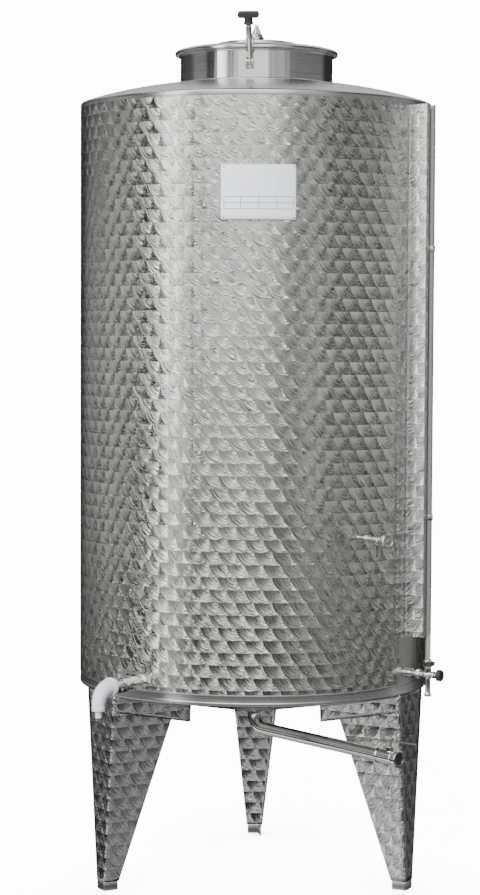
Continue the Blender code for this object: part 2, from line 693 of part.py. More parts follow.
# The total drain
def build_total_drain(axis):
    """Pipe from the bottom of the cone, turned towards the front right, with its end valve."""
    place = (0.0, 0.0, TOTAL_AXIS_HEIGHT)
    frame = frame_at("total_drain_frame", axis, place, TOTAL_AZIMUTH, tilt=TOTAL_SLOPE)
    stations = total_pipe_stations()
    adopt(tube("total_drain_pipe", stations, sides=4), frame, POLISHED)
    along = (0.0, math.pi / 2, 0.0)
    start = TOTAL_PIPE_END + GAP
    outer = [
        (TOTAL_END, 0.0190),
        (TOTAL_END - 0.0015, 0.0215),
        (0.5070, 0.0215),
        (0.5050, 0.0200),
        (0.4960, 0.0200),
        (0.4960, 0.0180),
        (0.4520, 0.0180),
        (0.4520, 0.0195),
        (start, 0.0195),
    ]
    socket = 0.0100
    profile = [(0.0, TOTAL_END - socket), (0.0150, TOTAL_END - socket), (0.0150, TOTAL_END)]
    profile += [(radius, height) for height, radius in outer] + [(0.0, start)]
    body = turned("total_drain_valve", profile, steps=32)
    stem = cylinder("total_stem_form", 0.0065, 0.0100, TOTAL_LEVER_RISE - 0.0030)
    adopt(body, frame, POLISHED, rotation=along)
    adopt(stem, frame, POLISHED, location=(TOTAL_STEM, 0.0, 0.0))
    boolean(body, stem, "UNION")
    plug = cylinder("total_drain_plug", 0.0147, TOTAL_END - socket + GAP, TOTAL_END - 0.0020, steps=24)
    adopt(plug, frame, BLACK_PLASTIC, rotation=along)
    pivot = frame_at("total_lever_pivot", frame, (TOTAL_STEM, 0.0, 0.0))
    low = TOTAL_LEVER_RISE
    lever = block("total_drain_lever", (-0.0090, -0.0045, 0.0), (TOTAL_LEVER, 0.0045, LEVER_SHEET))
    lift = math.radians(-TOTAL_LEVER_LIFT)
    hub = turned("total_lever_hub", stepped([(0.0140, 0.0120), (-0.0027, 0.0060)]), steps=16)
    adopt(lever, pivot, POLISHED, location=(0.0, 0.0, low), rotation=(0.0, lift, 0.0))
    adopt(hub, pivot, POLISHED, location=(0.0, 0.0, low))
    boolean(lever, hub, "UNION")


def total_pipe_stations():
    """Down from the cone's outlet, round a quarter bend and out along the frame's X."""
    top = cone_under(OUTLET_RADIUS) - TOTAL_AXIS_HEIGHT - 0.0006
    bend = TOTAL_BEND - 0.0010
    stations = [(0.0, 0.0, top, TOTAL_PIPE_RADIUS)]
    steps = 7
    for step in range(steps + 1):
        turn = math.pi / 2 * step / steps
        stations.append((bend * (1 - math.cos(turn)), 0.0, bend * (1 - math.sin(turn)), TOTAL_PIPE_RADIUS))
    stations.append((TOTAL_PIPE_END, 0.0, 0.0, TOTAL_PIPE_RADIUS))
    return stations


# The name plate
def build_name_plate(axis):
    """Thin bare plate, rolled to the shell."""
    radius = SHELL_RADIUS + GAP + 0.0010
    obj = turned("name_plate", [(radius, PLATE_TOP), (radius, PLATE_BOTTOM)], steps=12, angle=PLATE_SPAN)
    solidify = obj.modifiers.new("thickness", "SOLIDIFY")
    solidify.thickness = 0.0010
    solidify.offset = -1.0
    turn = math.radians(PLATE_AZIMUTH - 90.0 - PLATE_SPAN / 2)
    adopt(obj, axis, PLATE_METAL, rotation=(0.0, 0.0, turn))


# The legs
def leg_half(height):
    """Half width of the leg's tangential face."""
    return LEG_FOOT_HALF + (LEG_TOP_HALF - LEG_FOOT_HALF) * height / RIM_BOTTOM


def leg_point(side, height, inward=0.0, across=None):
    """A point of the wing, or of the face where across is given."""
    y = (side if across is None else across) * leg_half(height)
    return (LEG_DISTANCE - inward, y, height)


def cone_above_leg(inward):
    """Height of the cone's underside over the wing, this far in from the leg's face."""
    return cone_under(math.hypot(LEG_DISTANCE - inward, LEG_TOP_HALF)) - LEG_SEAT


def build_leg(axis, label, azimuth, side):
    """One folded sheet: a tapered face across the radius, and a wing that runs in under the cone."""
    frame = frame_at("leg_frame_" + label, axis, azimuth=azimuth)
    face_top = cone_under(LEG_DISTANCE) - LEG_SEAT
    strip_top = cone_above_leg(LEG_STRIP_REACH)
    wing_top = cone_above_leg(LEG_WING_REACH) - LEG_STRIP_DROP
    foot = FOOT_HEIGHT + GAP
    points = [
        leg_point(side, face_top, across=-side),
        leg_point(side, foot, across=-side),
        leg_point(side, foot),
        leg_point(side, face_top),
        leg_point(side, strip_top, LEG_STRIP_REACH),
        leg_point(side, strip_top - LEG_STRIP_DROP, LEG_STRIP_REACH),
        leg_point(side, wing_top, LEG_WING_REACH),
        leg_point(side, foot, LEG_WING_FOOT),
    ]
    faces = [(0, 1, 2, 3), (3, 2, 7, 6, 5, 4)]
    if side < 0:
        faces = [tuple(reversed(face)) for face in faces]
    leg = bent_sheet("leg_" + label, points, faces, LEG_SHEET)
    adopt(leg, frame, SWIRLED, sharp=20.0)
    build_foot(frame, label, side)


def build_foot(frame, label, side):
    """Folded shoe at the bottom of the leg, flat on the floor."""
    half = leg_half(0.0)
    skirt = (FOOT_THICKNESS - LEG_SHEET) / 2
    corners = [(0.0, -side * half), (0.0, side * half), (-LEG_WING_FOOT, side * half)]
    plan = [(LEG_DISTANCE + skirt + x, y + side * skirt) for x, y in corners]
    points = [(x, y, 0.0) for x, y in plan] + [(x, y, FOOT_HEIGHT) for x, y in plan]
    faces = [(0, 1, 4, 3), (1, 2, 5, 4)]
    if side < 0:
        faces = [tuple(reversed(face)) for face in faces]
    shoe = bent_sheet("foot_" + label, points, faces, FOOT_THICKNESS)
    adopt(shoe, frame, BRUSHED, sharp=20.0)


def centre_on_floor(axis):
    """Shift the tank so that the origin lies under the middle of its bounding box."""
    bpy.context.view_layer.update()
    graph = bpy.context.evaluated_depsgraph_get()
    corners = []
    for obj in PARTS.objects:
        if obj.type == "EMPTY":
            continue
        shape = obj.evaluated_get(graph)
        mesh = shape.to_mesh()
        corners += [shape.matrix_world @ vertex.co for vertex in mesh.vertices]
        shape.to_mesh_clear()
    cloud = np.array([tuple(corner) for corner in corners])
    low = cloud.min(axis=0)
    high = cloud.max(axis=0)
    axis.location = (-(low[0] + high[0]) / 2, -(low[1] + high[1]) / 2, -low[2])


def build_tank():
    axis = frame_at("tank_axis")
    build_shell(axis)
    build_top_head(axis)
    build_bottom_head(axis)
    build_neck(axis)
    build_hinge_bracket(axis)
    hinge = frame_at("lid_hinge", axis, (0.0, HINGE_RADIUS, HINGE_HEIGHT), azimuth=180.0)
    build_lid(hinge)
    front = build_clamp_ears(axis)
    build_swing_bolt(front)
    build_gauge(axis)
    build_sample_tap(axis)
    build_partial_drain(axis)
    build_total_drain(axis)
    build_name_plate(axis)
    for label, (azimuth, side) in LEGS.items():
        build_leg(axis, label, azimuth, side)
    centre_on_floor(axis)


build_tank()
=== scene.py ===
"""Looks of the upright storage tank: swirled shell, polished ends and fittings, floor, light and camera."""
import json
import logging
import math
from dataclasses import dataclass
from enum import Enum
from typing import Any, Callable, Union

import bmesh
import bpy
import numpy as np
from mathutils import Matrix, Vector

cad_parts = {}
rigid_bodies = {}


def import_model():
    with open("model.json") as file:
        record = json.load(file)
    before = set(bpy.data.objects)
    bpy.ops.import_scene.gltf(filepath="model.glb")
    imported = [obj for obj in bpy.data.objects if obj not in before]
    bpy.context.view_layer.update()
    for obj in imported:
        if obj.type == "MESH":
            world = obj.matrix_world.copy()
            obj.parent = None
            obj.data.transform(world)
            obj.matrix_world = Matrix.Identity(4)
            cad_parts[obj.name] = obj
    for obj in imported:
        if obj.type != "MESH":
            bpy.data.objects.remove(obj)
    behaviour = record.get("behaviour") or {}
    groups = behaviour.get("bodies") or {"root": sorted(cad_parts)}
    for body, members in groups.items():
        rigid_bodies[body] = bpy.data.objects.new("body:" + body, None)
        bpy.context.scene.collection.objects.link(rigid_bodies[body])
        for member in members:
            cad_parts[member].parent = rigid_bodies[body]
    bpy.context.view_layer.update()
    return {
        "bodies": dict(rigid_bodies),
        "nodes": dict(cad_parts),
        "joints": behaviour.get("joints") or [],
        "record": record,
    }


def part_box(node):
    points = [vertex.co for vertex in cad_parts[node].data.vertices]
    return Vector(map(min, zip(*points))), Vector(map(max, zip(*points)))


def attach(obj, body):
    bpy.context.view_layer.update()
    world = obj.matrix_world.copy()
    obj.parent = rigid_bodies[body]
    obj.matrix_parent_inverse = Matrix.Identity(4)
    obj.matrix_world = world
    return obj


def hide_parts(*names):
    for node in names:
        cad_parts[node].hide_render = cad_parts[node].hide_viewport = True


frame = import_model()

LOG = logging.getLogger("tank")
TAU = 2.0 * math.pi
SHEET_MAP = "sheet"

# Keeps a root's slope finite
TINY = 1e-8
# Distance at which points become one, and the largest corner cut as a share of an edge
MERGE = 1e-6
LARGEST_CUT = 0.49

# Radii of the shell, of the place where fittings start on it, and of the manhole's neck, in metres
SHELL = 0.46
SEAT = 0.4603
NECK = 0.1993
# Thickness of the sheet, and the bottom cone's height at the shell and its slope
WALL = 0.0015
CONE_RIM = 0.5145
CONE_SLOPE = 0.09 / SHELL
# Radii of the pins, of the eyes round them and of the eyes' bores
PIN = 0.003
EYE = 0.007
EYE_BORE = 0.0031
# Flats of the nut on a drain's lever, and their distance from its axis
LEVER_NUT = (6, 0.0066)


class Slot(Enum):
    """The material slots of the record, which each finish is listed with."""

    SWIRLED = "swirled_steel"
    BRUSHED = "brushed_steel"
    POLISHED = "polished_steel"
    BLACK = "black_plastic"
    WHITE = "white_plastic"
    RUBBER = "white_rubber"
    CLEAR = "clear_tube"
    PLATE = "plate_aluminium"


class Body(Enum):
    """The bodies that the pieces ride on."""

    TANK = "tank"
    LID = "manhole_lid"
    BOLT = "clamp_bolt"
    DRAIN_LEVER = "partial_drain_lever"
    TOTAL_LEVER = "total_lever"
    SAMPLE_KNOB = "sample_knob"
    GAUGE_KNOB = "gauge_knob"


# Shader maths
def maths(name: str, swapped: bool = False) -> Callable[..., "Value"]:
    """Operator of a value that adds one Math node.

    Args:
        name: the Math node's operation.
        swapped: whether the other number comes first.

    Returns:
        The method.
    """
    def operator(self: "Value", *other: "Number") -> "Value":
        """Result of the operation."""
        terms = (*other, self) if swapped else (self, *other)
        return self.math(name, *terms)

    return operator


class Value:
    """A number in a node tree. Sums written with it add their Math nodes."""

    def __init__(self, tree: bpy.types.NodeTree, socket: bpy.types.NodeSocket) -> None:
        """Keep the tree and the socket that carries the number."""
        self.tree = tree
        self.socket = socket

    def math(self, operation: str, *terms: "Number") -> "Value":
        """Add one Math node.

        Args:
            operation: name of the Math node's operation.
            terms: its inputs in order.

        Returns:
            The node's result.
        """
        node = self.tree.nodes.new("ShaderNodeMath")
        node.operation = operation
        for socket, term in zip(node.inputs, terms):
            join(self.tree, term, socket)
        return Value(self.tree, node.outputs[0])

    # A comparison is one where it holds, else zero, and a remainder is never negative
    __add__ = __radd__ = maths("ADD")
    __sub__ = maths("SUBTRACT")
    __rsub__ = maths("SUBTRACT", swapped=True)
    __mul__ = __rmul__ = maths("MULTIPLY")
    __truediv__ = maths("DIVIDE")
    __pow__ = maths("POWER")
    __mod__ = maths("FLOORED_MODULO")
    __gt__ = maths("GREATER_THAN")
    __lt__ = maths("LESS_THAN")
    __abs__ = maths("ABSOLUTE")
    floor = maths("FLOOR")
    # Angle whose tangent is this number over the other, in radians
    angle = maths("ARCTAN2")

    def root(self) -> "Value":
        """Square root, zero for a negative number."""
        return self.math("SQRT", self.math("MAXIMUM", self, 0.0))

    def pick(self, one: "Number", other: "Number") -> "Value":
        """The first where this mask is one, the other where it is zero."""
        return self * one + (1.0 - self) * other

    def band(self, low: float, high: float) -> "Value":
        """Rise smoothly from zero at the low number to one at the high one."""
        node = self.tree.nodes.new("ShaderNodeMapRange")
        node.interpolation_type = "SMOOTHSTEP"
        join(self.tree, self, node.inputs["Value"])
        node.inputs["From Min"].default_value = low
        node.inputs["From Max"].default_value = high
        return Value(self.tree, node.outputs["Result"])


Number = Union[Value, float]
Colour = tuple[float, float, float]


def join(tree: bpy.types.NodeTree, source: Any, socket: bpy.types.NodeSocket) -> None:
    """Link a value or socket into a socket, or set the socket to a number, vector or colour."""
    if isinstance(source, Value):
        tree.links.new(source.socket, socket)
    elif isinstance(source, bpy.types.NodeSocket):
        tree.links.new(source, socket)
    elif isinstance(source, tuple) and socket.type == "RGBA":
        socket.default_value = (*source, 1.0)
    else:
        socket.default_value = source


class Nodes:
    """A node tree and the ways in which nodes are added to it."""

    def __init__(self, tree: bpy.types.NodeTree) -> None:
        """Start with an empty tree."""
        self.tree = tree
        tree.nodes.clear()

    def node(self, kind: str, settings: dict[str, Any], sockets: dict[Any, Any]) -> bpy.types.Node:
        """Add any node.

        Args:
            kind: the node's type.
            settings: its properties, set first.
            sockets: values or links for its inputs, by name or number.

        Returns:
            The node.
        """
        node = self.tree.nodes.new(kind)
        for name, setting in settings.items():
            setattr(node, name, setting)
        for name, source in sockets.items():
            join(self.tree, source, node.inputs[name])
        return node

    def place(self, x: float = 0.0, y: float = 0.0) -> bpy.types.NodeSocket:
        """Position on the piece in metres, counted from an upright line."""
        spot = self.node("ShaderNodeTexCoord", {}, {}).outputs["Object"]
        return self.node("ShaderNodeMapping", {}, {"Vector": spot, "Location": (-x, -y, 0.0)}).outputs[0]

    def split(self, vector: bpy.types.NodeSocket) -> tuple[Value, Value, Value]:
        """The three parts of a vector."""
        node = self.node("ShaderNodeSeparateXYZ", {}, {"Vector": vector})
        return tuple(Value(self.tree, output) for output in node.outputs)

    def combine(self, x: Number, y: Number, z: Number) -> bpy.types.NodeSocket:
        """A vector from three numbers."""
        return self.node("ShaderNodeCombineXYZ", {}, {"X": x, "Y": y, "Z": z}).outputs[0]

    def sheet(self) -> tuple[Value, Value]:
        """Place on the flat sheet before it was rolled or folded, in metres along and up."""
        along, up, _ = self.split(self.node("ShaderNodeUVMap", {"uv_map": SHEET_MAP}, {}).outputs[0])
        return along, up

    def vector(self, operation: str, *terms: Any) -> bpy.types.NodeSocket:
        """Result of one Vector Math node."""
        node = self.node("ShaderNodeVectorMath", {"operation": operation}, dict(enumerate(terms)))
        return node.outputs[0]

    def scaled(self, vector: Any, factor: Number) -> bpy.types.NodeSocket:
        """A vector times a number."""
        sockets = {"Vector": vector, "Scale": factor}
        return self.node("ShaderNodeVectorMath", {"operation": "SCALE"}, sockets).outputs[0]

    def noise(self, vector: Any, scale: float, detail: float = 2.0, roughness: float = 0.5) -> Value:
        """Smooth noise from nought to one."""
        sockets = {"Vector": vector, "Scale": scale, "Detail": detail, "Roughness": roughness}
        return Value(self.tree, self.node("ShaderNodeTexNoise", {}, sockets).outputs[0])

    def dice(self, x: Number, y: Number) -> Value:
        """A number of its own for each whole pair."""
        settings = {"noise_dimensions": "2D"}
        node = self.node("ShaderNodeTexWhiteNoise", settings, {"Vector": self.combine(x, y, 0.0)})
        return Value(self.tree, node.outputs["Value"])

    def mix(self, factor: Number, one: Any, other: Any) -> bpy.types.NodeSocket:
        """Colour between two colours."""
        node = self.node("ShaderNodeMix", {"data_type": "RGBA"}, {})
        join(self.tree, factor, node.inputs[0])
        join(self.tree, one, node.inputs[6])
        join(self.tree, other, node.inputs[7])
        return node.outputs[2]

    def bump(self, height: Value, distance: float, strength: float) -> bpy.types.NodeSocket:
        """Normal of a height from nought to one over a distance in metres."""
        sockets = {"Height": height, "Distance": distance, "Strength": strength}
        return self.node("ShaderNodeBump", {}, sockets).outputs["Normal"]


class Paint(Nodes):
    """One material and the nodes that feed its shader."""

    def __init__(self, name: str) -> None:
        """Start an empty material of that name."""
        self.material = bpy.data.materials.new(name)
        self.material.use_nodes = True
        super().__init__(self.material.node_tree)

    def tilted(self, *tilts: tuple[Any, Number]) -> bpy.types.NodeSocket:
        """The surface's normal, tipped along each vector by its number."""
        normal = self.node("ShaderNodeNewGeometry", {}, {}).outputs["Normal"]
        for vector, tilt in tilts:
            normal = self.vector("ADD", normal, self.scaled(vector, tilt))
        return self.vector("NORMALIZE", normal)

    def finish(self, **sockets: Any) -> bpy.types.Material:
        """Close the material with its Principled shader, whose sockets are named with underscores."""
        named = {name.replace("_", " "): source for name, source in sockets.items()}
        shader = self.node("ShaderNodeBsdfPrincipled", {}, named)
        output = self.node("ShaderNodeOutputMaterial", {}, {})
        self.tree.links.new(shader.outputs[0], output.inputs[0])
        return self.material


def shaded(tone: Colour, share: float, lift: float = 0.0) -> Colour:
    """A colour times a number, with another number added."""
    return tuple(part * share + lift for part in tone)


# Finishes
@dataclass(frozen=True)
class SwirlFinish:
    """Steel sheet ground with round marks in straight rows, each row laid over the one below."""

    name: str = "swirled_sheet"
    tone: Colour = (0.64, 0.64, 0.63)
    shade: float = 0.9
    roughness: float = 0.11
    spread: float = 0.06
    # Marks: pitch in a row, row height, how far the middles lie above the row, radius
    pitch: float = 0.0446
    row: float = 0.0311
    lift: float = 0.008
    radius: float = 0.0465
    shift: tuple[float, float] = (0.0046, 0.025)
    keys: tuple[float, float, float] = (7.0, 131.0, 3.0)
    # Scratches: closeness, tilt sideways and upwards, and how far they lean sideways
    scratch: float = 1300.0
    slope: tuple[float, float] = (1.7, 2.8)
    squeeze: float = 2.1
    # Lower edge of a row: its share of the row, and its tilt
    edge: tuple[float, float] = (0.06, -0.22)
    # Plain strip: where it starts and ends, closeness of its streaks along and up, and their tilt
    plain: tuple[float, float] = (-9.0, -8.0)
    streaks: tuple[float, float, float] = (900.0, 3.0, 0.7)
    # Waves of the whole sheet: closeness, and their tilt along and up
    waves: tuple[float, float, float] = (4.0, 0.1, 0.05)

    def mark(self, along: Value, up: Value) -> tuple[Value, Value, Value, Value]:
        """The mark that shows at a point of the sheet.

        A row's middles lie a little above its upper edge, and odd rows are shifted by half a pitch.
        The chord of the circle at the point's height says which marks reach it: the last of them is
        the whole number of pitches below the place plus half a chord.

        Args:
            along: place along the sheet.
            up: place up the sheet.

        Returns:
            Offsets from the mark's middle, a number of its own, and the share of the row's height.
        """
        row = (up / self.row).floor()
        share = up / self.row - row
        rise = (share - 1.0) * self.row - self.lift
        half = (self.radius ** 2 - rise * rise).root()
        place = along - (row % 2.0) * (self.pitch / 2.0)
        number = ((place + half) / self.pitch).floor()
        return place - number * self.pitch, rise, number * self.keys[0] + row * self.keys[1], share

    def build(self) -> bpy.types.Material:
        """Scratches run round each mark's middle and tip the surface to and from it."""
        paint = Paint(self.name)
        along, up = paint.sheet()
        offset, rise, number, share = self.mark(along - self.shift[0], up - self.shift[1])
        own = paint.dice(number, self.keys[2])
        distance = (offset * offset + rise * rise).root()
        aside = offset * self.squeeze
        reach = (aside * aside + rise * rise).root()
        plain = (along > self.plain[0]) * (along < self.plain[1])
        swirl = 1.0 - plain
        fine = paint.noise(paint.combine(distance * self.scratch, aside / reach, number), 1.0, 1.0) - 0.5
        edge = share.band(self.edge[0], 0.0) * swirl * self.edge[1]
        tilt = fine * swirl
        close, stretch, drag = self.streaks
        drawn = paint.combine(along * close, up * stretch, 0.0)
        streak = (paint.noise(drawn, 1.0, 3.0) - 0.5) * plain * drag
        scale, sway, nod = self.waves
        wave = paint.noise(paint.place(), scale, 2.0) - 0.5
        tangent = paint.node("ShaderNodeTangent", {"direction_type": "UV_MAP", "uv_map": SHEET_MAP}, {})
        normal = paint.node("ShaderNodeNewGeometry", {}, {}).outputs["Normal"]
        binormal = paint.vector("CROSS_PRODUCT", normal, tangent.outputs[0])
        sideways = aside / reach * tilt * self.slope[0] + streak + wave * sway
        upwards = rise / reach * tilt * self.slope[1] + edge + wave * nod
        return paint.finish(
            Base_Color=paint.mix(own, self.tone, shaded(self.tone, self.shade)),
            Metallic=1.0,
            Roughness=own * self.spread + self.roughness,
            Normal=paint.tilted((tangent.outputs[0], sideways), (binormal, upwards)),
        )


@dataclass(frozen=True)
class TurnedFinish:
    """Steel with fine marks that run round the tank's axis."""

    name: str
    centre: tuple[float, float]
    tone: Colour = (0.66, 0.66, 0.655)
    shade: float = 0.85
    roughness: float = 0.22
    spread: float = 0.1
    cloud: float = 9.0
    # Marks and streaks: closeness across them and round the axis, and their tilt
    marks: tuple[float, float] = (700.0, 2.0)
    tilt: float = 0.16
    streaks: tuple[float, float] = (24.0, 2.0)
    streak: float = 0.0

    def build(self) -> bpy.types.Material:
        """Noise that changes fast along the profile and slowly round it tips the surface."""
        paint = Paint(self.name)
        spot = paint.place(*self.centre)
        x, y, z = paint.split(spot)
        radius = (x * x + y * y + TINY).root()
        outwards = paint.combine(x / radius, y / radius, 1.0)
        close, slow = self.marks
        profile = paint.combine(radius * close, z * close, y.angle(x) * slow)
        marks = paint.noise(profile, 1.0, 3.0, 0.6) - 0.5
        around = paint.combine(0.0 - y / radius, x / radius, 0.0)
        close, slow = self.streaks
        turn = paint.combine(x / radius * close, y / radius * close, z * slow)
        streaks = paint.noise(turn, 1.0, 4.0, 0.7) - 0.5
        cloud = paint.noise(spot, self.cloud, 3.0)
        return paint.finish(
            Base_Color=paint.mix(cloud, self.tone, shaded(self.tone, self.shade)),
            Metallic=1.0,
            Roughness=cloud * self.spread + self.roughness,
            Normal=paint.tilted((outwards, marks * self.tilt), (around, streaks * self.streak)),
        )


@dataclass(frozen=True)
class PolishedFinish:
    """Polished steel with faint handling marks."""

    name: str = "polished_fittings"
    tone: Colour = (0.74, 0.74, 0.73)
    roughness: float = 0.1
    shade: float = 0.88
    spread: float = 0.12
    cloud: float = 60.0
    fine: float = 700.0
    bump: tuple[float, float] = (0.00008, 0.5)

    def build(self) -> bpy.types.Material:
        """Cloudy roughness and a very shallow unevenness."""
        paint = Paint(self.name)
        spot = paint.place()
        cloud = paint.noise(spot, self.cloud, 4.0)
        return paint.finish(
            Base_Color=paint.mix(cloud, self.tone, shaded(self.tone, self.shade)),
            Metallic=1.0,
            Roughness=cloud * self.spread + self.roughness,
            Normal=paint.bump(paint.noise(spot, self.fine), *self.bump),
        )


@dataclass(frozen=True)
class MouldedFinish:
    """Moulded plastic or rubber with a fine grain."""

    name: str
    tone: Colour
    roughness: float
    grain: float = 0.00012
    strength: float = 0.7
    other: tuple[float, float] = (0.82, 0.004)
    spread: float = 0.14
    cloud: float = 45.0
    fine: float = 1800.0
    index: float = 1.48

    def build(self) -> bpy.types.Material:
        """Grain in the height and a cloud in the gloss and colour."""
        paint = Paint(self.name)
        spot = paint.place()
        cloud = paint.noise(spot, self.cloud, 3.0)
        return paint.finish(
            Base_Color=paint.mix(cloud, self.tone, shaded(self.tone, *self.other)),
            Roughness=cloud * self.spread + self.roughness,
            Normal=paint.bump(paint.noise(spot, self.fine), self.grain, self.strength),
            IOR=self.index,
        )


@dataclass(frozen=True)
class TubeFinish:
    """Clear sight tube, a little green, with a dull film inside."""

    name: str = "clear_sight_tube"
    tones: tuple[Colour, Colour] = ((0.26, 0.29, 0.26), (0.17, 0.19, 0.17))
    roughness: tuple[float, float] = (0.1, 0.05)
    alpha: tuple[float, float] = (0.15, 0.55)
    film: float = 6.0

    def build(self) -> bpy.types.Material:
        """See-through by its alpha, so that it needs no refraction."""
        paint = Paint(self.name)
        _, _, z = paint.split(paint.place())
        film = paint.noise(paint.combine(0.0, 0.0, z * self.film), 1.0, 3.0)
        return paint.finish(
            Base_Color=paint.mix(film, *self.tones),
            Roughness=film * self.roughness[0] + self.roughness[1],
            Alpha=film * self.alpha[0] + self.alpha[1],
        )


@dataclass(frozen=True)
class PlateFinish:
    """Pale plate with a bare ruled table on its lower half, and painted shadow along its lower and right
    edges.
    """

    name: str = "ruled_plate"
    width: float = 0.1847
    height: float = 0.1355
    low: float = 1.7085
    rules: tuple[float, ...] = (0.2, 0.31, 0.42)
    posts: tuple[float, ...] = (0.04, 0.26, 0.5, 0.74, 0.96)
    line: float = 0.0009
    # Painted shadow: share of the width past which the right edge, and share of the height under which the
    # lower edge, is drawn dark
    edges: tuple[float, float] = (0.99, 0.014)
    papers: tuple[Colour, Colour] = ((0.8, 0.81, 0.86), (0.76, 0.77, 0.82))
    # Colour of the printed rules and of the painted shadow on the two edges
    ink_and_shadow: Colour = (0.25, 0.25, 0.27)
    cloud: float = 30.0
    roughness: tuple[float, float] = (0.12, 0.38)
    metal: float = 0.15

    def build(self) -> bpy.types.Material:
        """A rule is where the place is nearer to it than half its width. The painted shadow is a thin strip
        along the right and lower edges.
        """
        paint = Paint(self.name)
        along, up = paint.sheet()
        across = along / self.width
        rise = (up - self.low) / self.height
        inside = (across > self.posts[0]) * (across < self.posts[-1])
        within = (rise > self.rules[0]) * (rise < self.rules[-1])
        # Painted shadow along the right and lower edges, in the rules' dark colour
        ink_and_shadow = (across > self.edges[0]) + (rise < self.edges[1])
        for rule in self.rules:
            ink_and_shadow = ink_and_shadow + (abs(rise - rule) < self.line / self.height) * inside
        for post in self.posts:
            ink_and_shadow = ink_and_shadow + (abs(across - post) < self.line / self.width) * within
        cloud = paint.noise(paint.place(), self.cloud, 3.0)
        return paint.finish(
            Base_Color=paint.mix(ink_and_shadow.band(0.0, 1.0), paint.mix(cloud, *self.papers), self.ink_and_shadow),
            Roughness=cloud * self.roughness[0] + self.roughness[1],
            Metallic=self.metal,
        )


# Surfaces
Grid = np.ndarray
# Turns that lay an upright axis outwards, lay a plate across the frame, and stand it facing outwards
ALONG = Matrix.Rotation(math.pi / 2.0, 4, "Y")
ACROSS = Matrix.Rotation(math.pi / 2.0, 4, "X")
FACING = Matrix(((0.0, 0.0, 1.0), (1.0, 0.0, 0.0), (0.0, 1.0, 0.0))).to_4x4()


class Shape:
    """A mesh put together from grids of points."""

    def __init__(self) -> None:
        """Start without points."""
        self.points: list[Grid] = []
        self.faces: list[list[int]] = []
        self.maps: list[Grid] = []
        self.count = 0

    def grid(self, points: Grid, across: bool = False, flat: Union[Grid, None] = None) -> "Shape":
        """Add the faces between neighbours of a grid of points.

        Args:
            points: rows by columns by three. Rows run up and columns to the right, seen from outside.
            across: whether the last column joins the first.
            flat: place of each point on the flat sheet, with one more column where it joins.

        Returns:
            This shape.
        """
        rows, columns = points.shape[:2]
        index = np.arange(rows * columns).reshape(rows, columns)
        after = np.roll(index, -1, axis=1) if across else index[:, 1:]
        here = index if across else index[:, :-1]
        quads = np.stack((here[:-1], after[:-1], after[1:], here[1:]), axis=-1)
        self.faces += (quads.reshape(-1, 4) + self.count).tolist()
        self.points.append(points.reshape(-1, 3))
        self.count += rows * columns
        if flat is None:
            flat = np.zeros((rows, columns + (1 if across else 0), 2))
        corners = np.stack((flat[:-1, :-1], flat[:-1, 1:], flat[1:, 1:], flat[1:, :-1]), axis=2)
        self.maps.append(corners.reshape(-1, 2))
        return self

    def cap(self, points: Grid) -> "Shape":
        """Add one flat face round a loop of points."""
        self.faces.append(list(range(self.count, self.count + len(points))))
        self.points.append(points)
        self.maps.append(np.zeros((len(points), 2)))
        self.count += len(points)
        return self

    def placed(self, place: Matrix) -> "Shape":
        """Move every point by a matrix."""
        turn = np.array(place)
        self.points = [points @ turn[:3, :3].T + turn[:3, 3] for points in self.points]
        return self

    def add(self, other: "Shape", place: Matrix = Matrix()) -> "Shape":
        """Take in another shape, moved by a matrix."""
        other.placed(place)
        self.points += other.points
        self.faces += [[index + self.count for index in face] for face in other.faces]
        self.maps += other.maps
        self.count += other.count
        return self

    def piece(self, name: str, place: Matrix, closed: bool = True) -> bpy.types.Object:
        """Make the object, with its place in its mesh.

        Args:
            name: the piece's name.
            place: where the shape's own frame lies.
            closed: whether the shape is closed, so that its faces can be turned outwards.

        Returns:
            The object, at the origin.
        """
        self.placed(place)
        mesh = bpy.data.meshes.new(name)
        mesh.from_pydata(np.concatenate(self.points), [], self.faces)
        layer = mesh.uv_layers.new(name=SHEET_MAP)
        layer.data.foreach_set("uv", np.concatenate(self.maps).ravel())
        work = bmesh.new()
        work.from_mesh(mesh)
        bmesh.ops.remove_doubles(work, verts=work.verts, dist=MERGE)
        loose = [edge for edge in work.edges if not edge.link_faces]
        bmesh.ops.delete(work, geom=loose, context="EDGES")
        if closed:
            bmesh.ops.recalc_face_normals(work, faces=work.faces)
        work.to_mesh(mesh)
        work.free()
        piece = bpy.data.objects.new(name, mesh)
        bpy.context.scene.collection.objects.link(piece)
        return piece


def rounded(corners: list[tuple[float, ...]], closed: bool = False, steps: int = 4) -> Grid:
    """Round the corners of a line.

    Each corner is a place and a cut, which is at most half of either edge: the line leaves the edge
    one cut before the corner and joins the next edge one cut after it, on a curve of the second
    degree with the corner as its handle.

    Args:
        corners: two places and the cut of each corner, or only the places where it stays sharp.
        closed: whether the last corner joins the first.
        steps: parts of each curve.

    Returns:
        The points of the rounded line.
    """
    spots = np.array([corner[:2] for corner in corners])
    line = []
    last = len(corners) - 1
    for number, (_, _, *cuts) in enumerate(corners):
        if not cuts or (not closed and number in (0, last)):
            line.append(spots[number:number + 1])
            continue
        spot = spots[number]
        before = spots[number - 1] - spot
        after = spots[(number + 1) % len(corners)] - spot
        back, on = float(np.linalg.norm(before)), float(np.linalg.norm(after))
        cut = min(cuts[0], LARGEST_CUT * back, LARGEST_CUT * on)
        start = spot + before / back * cut
        end = spot + after / on * cut
        t = np.linspace(0.0, 1.0, steps + 1)[:, None]
        line.append((1 - t) ** 2 * start + 2 * t * (1 - t) * spot + t ** 2 * end)
    return np.concatenate(line)


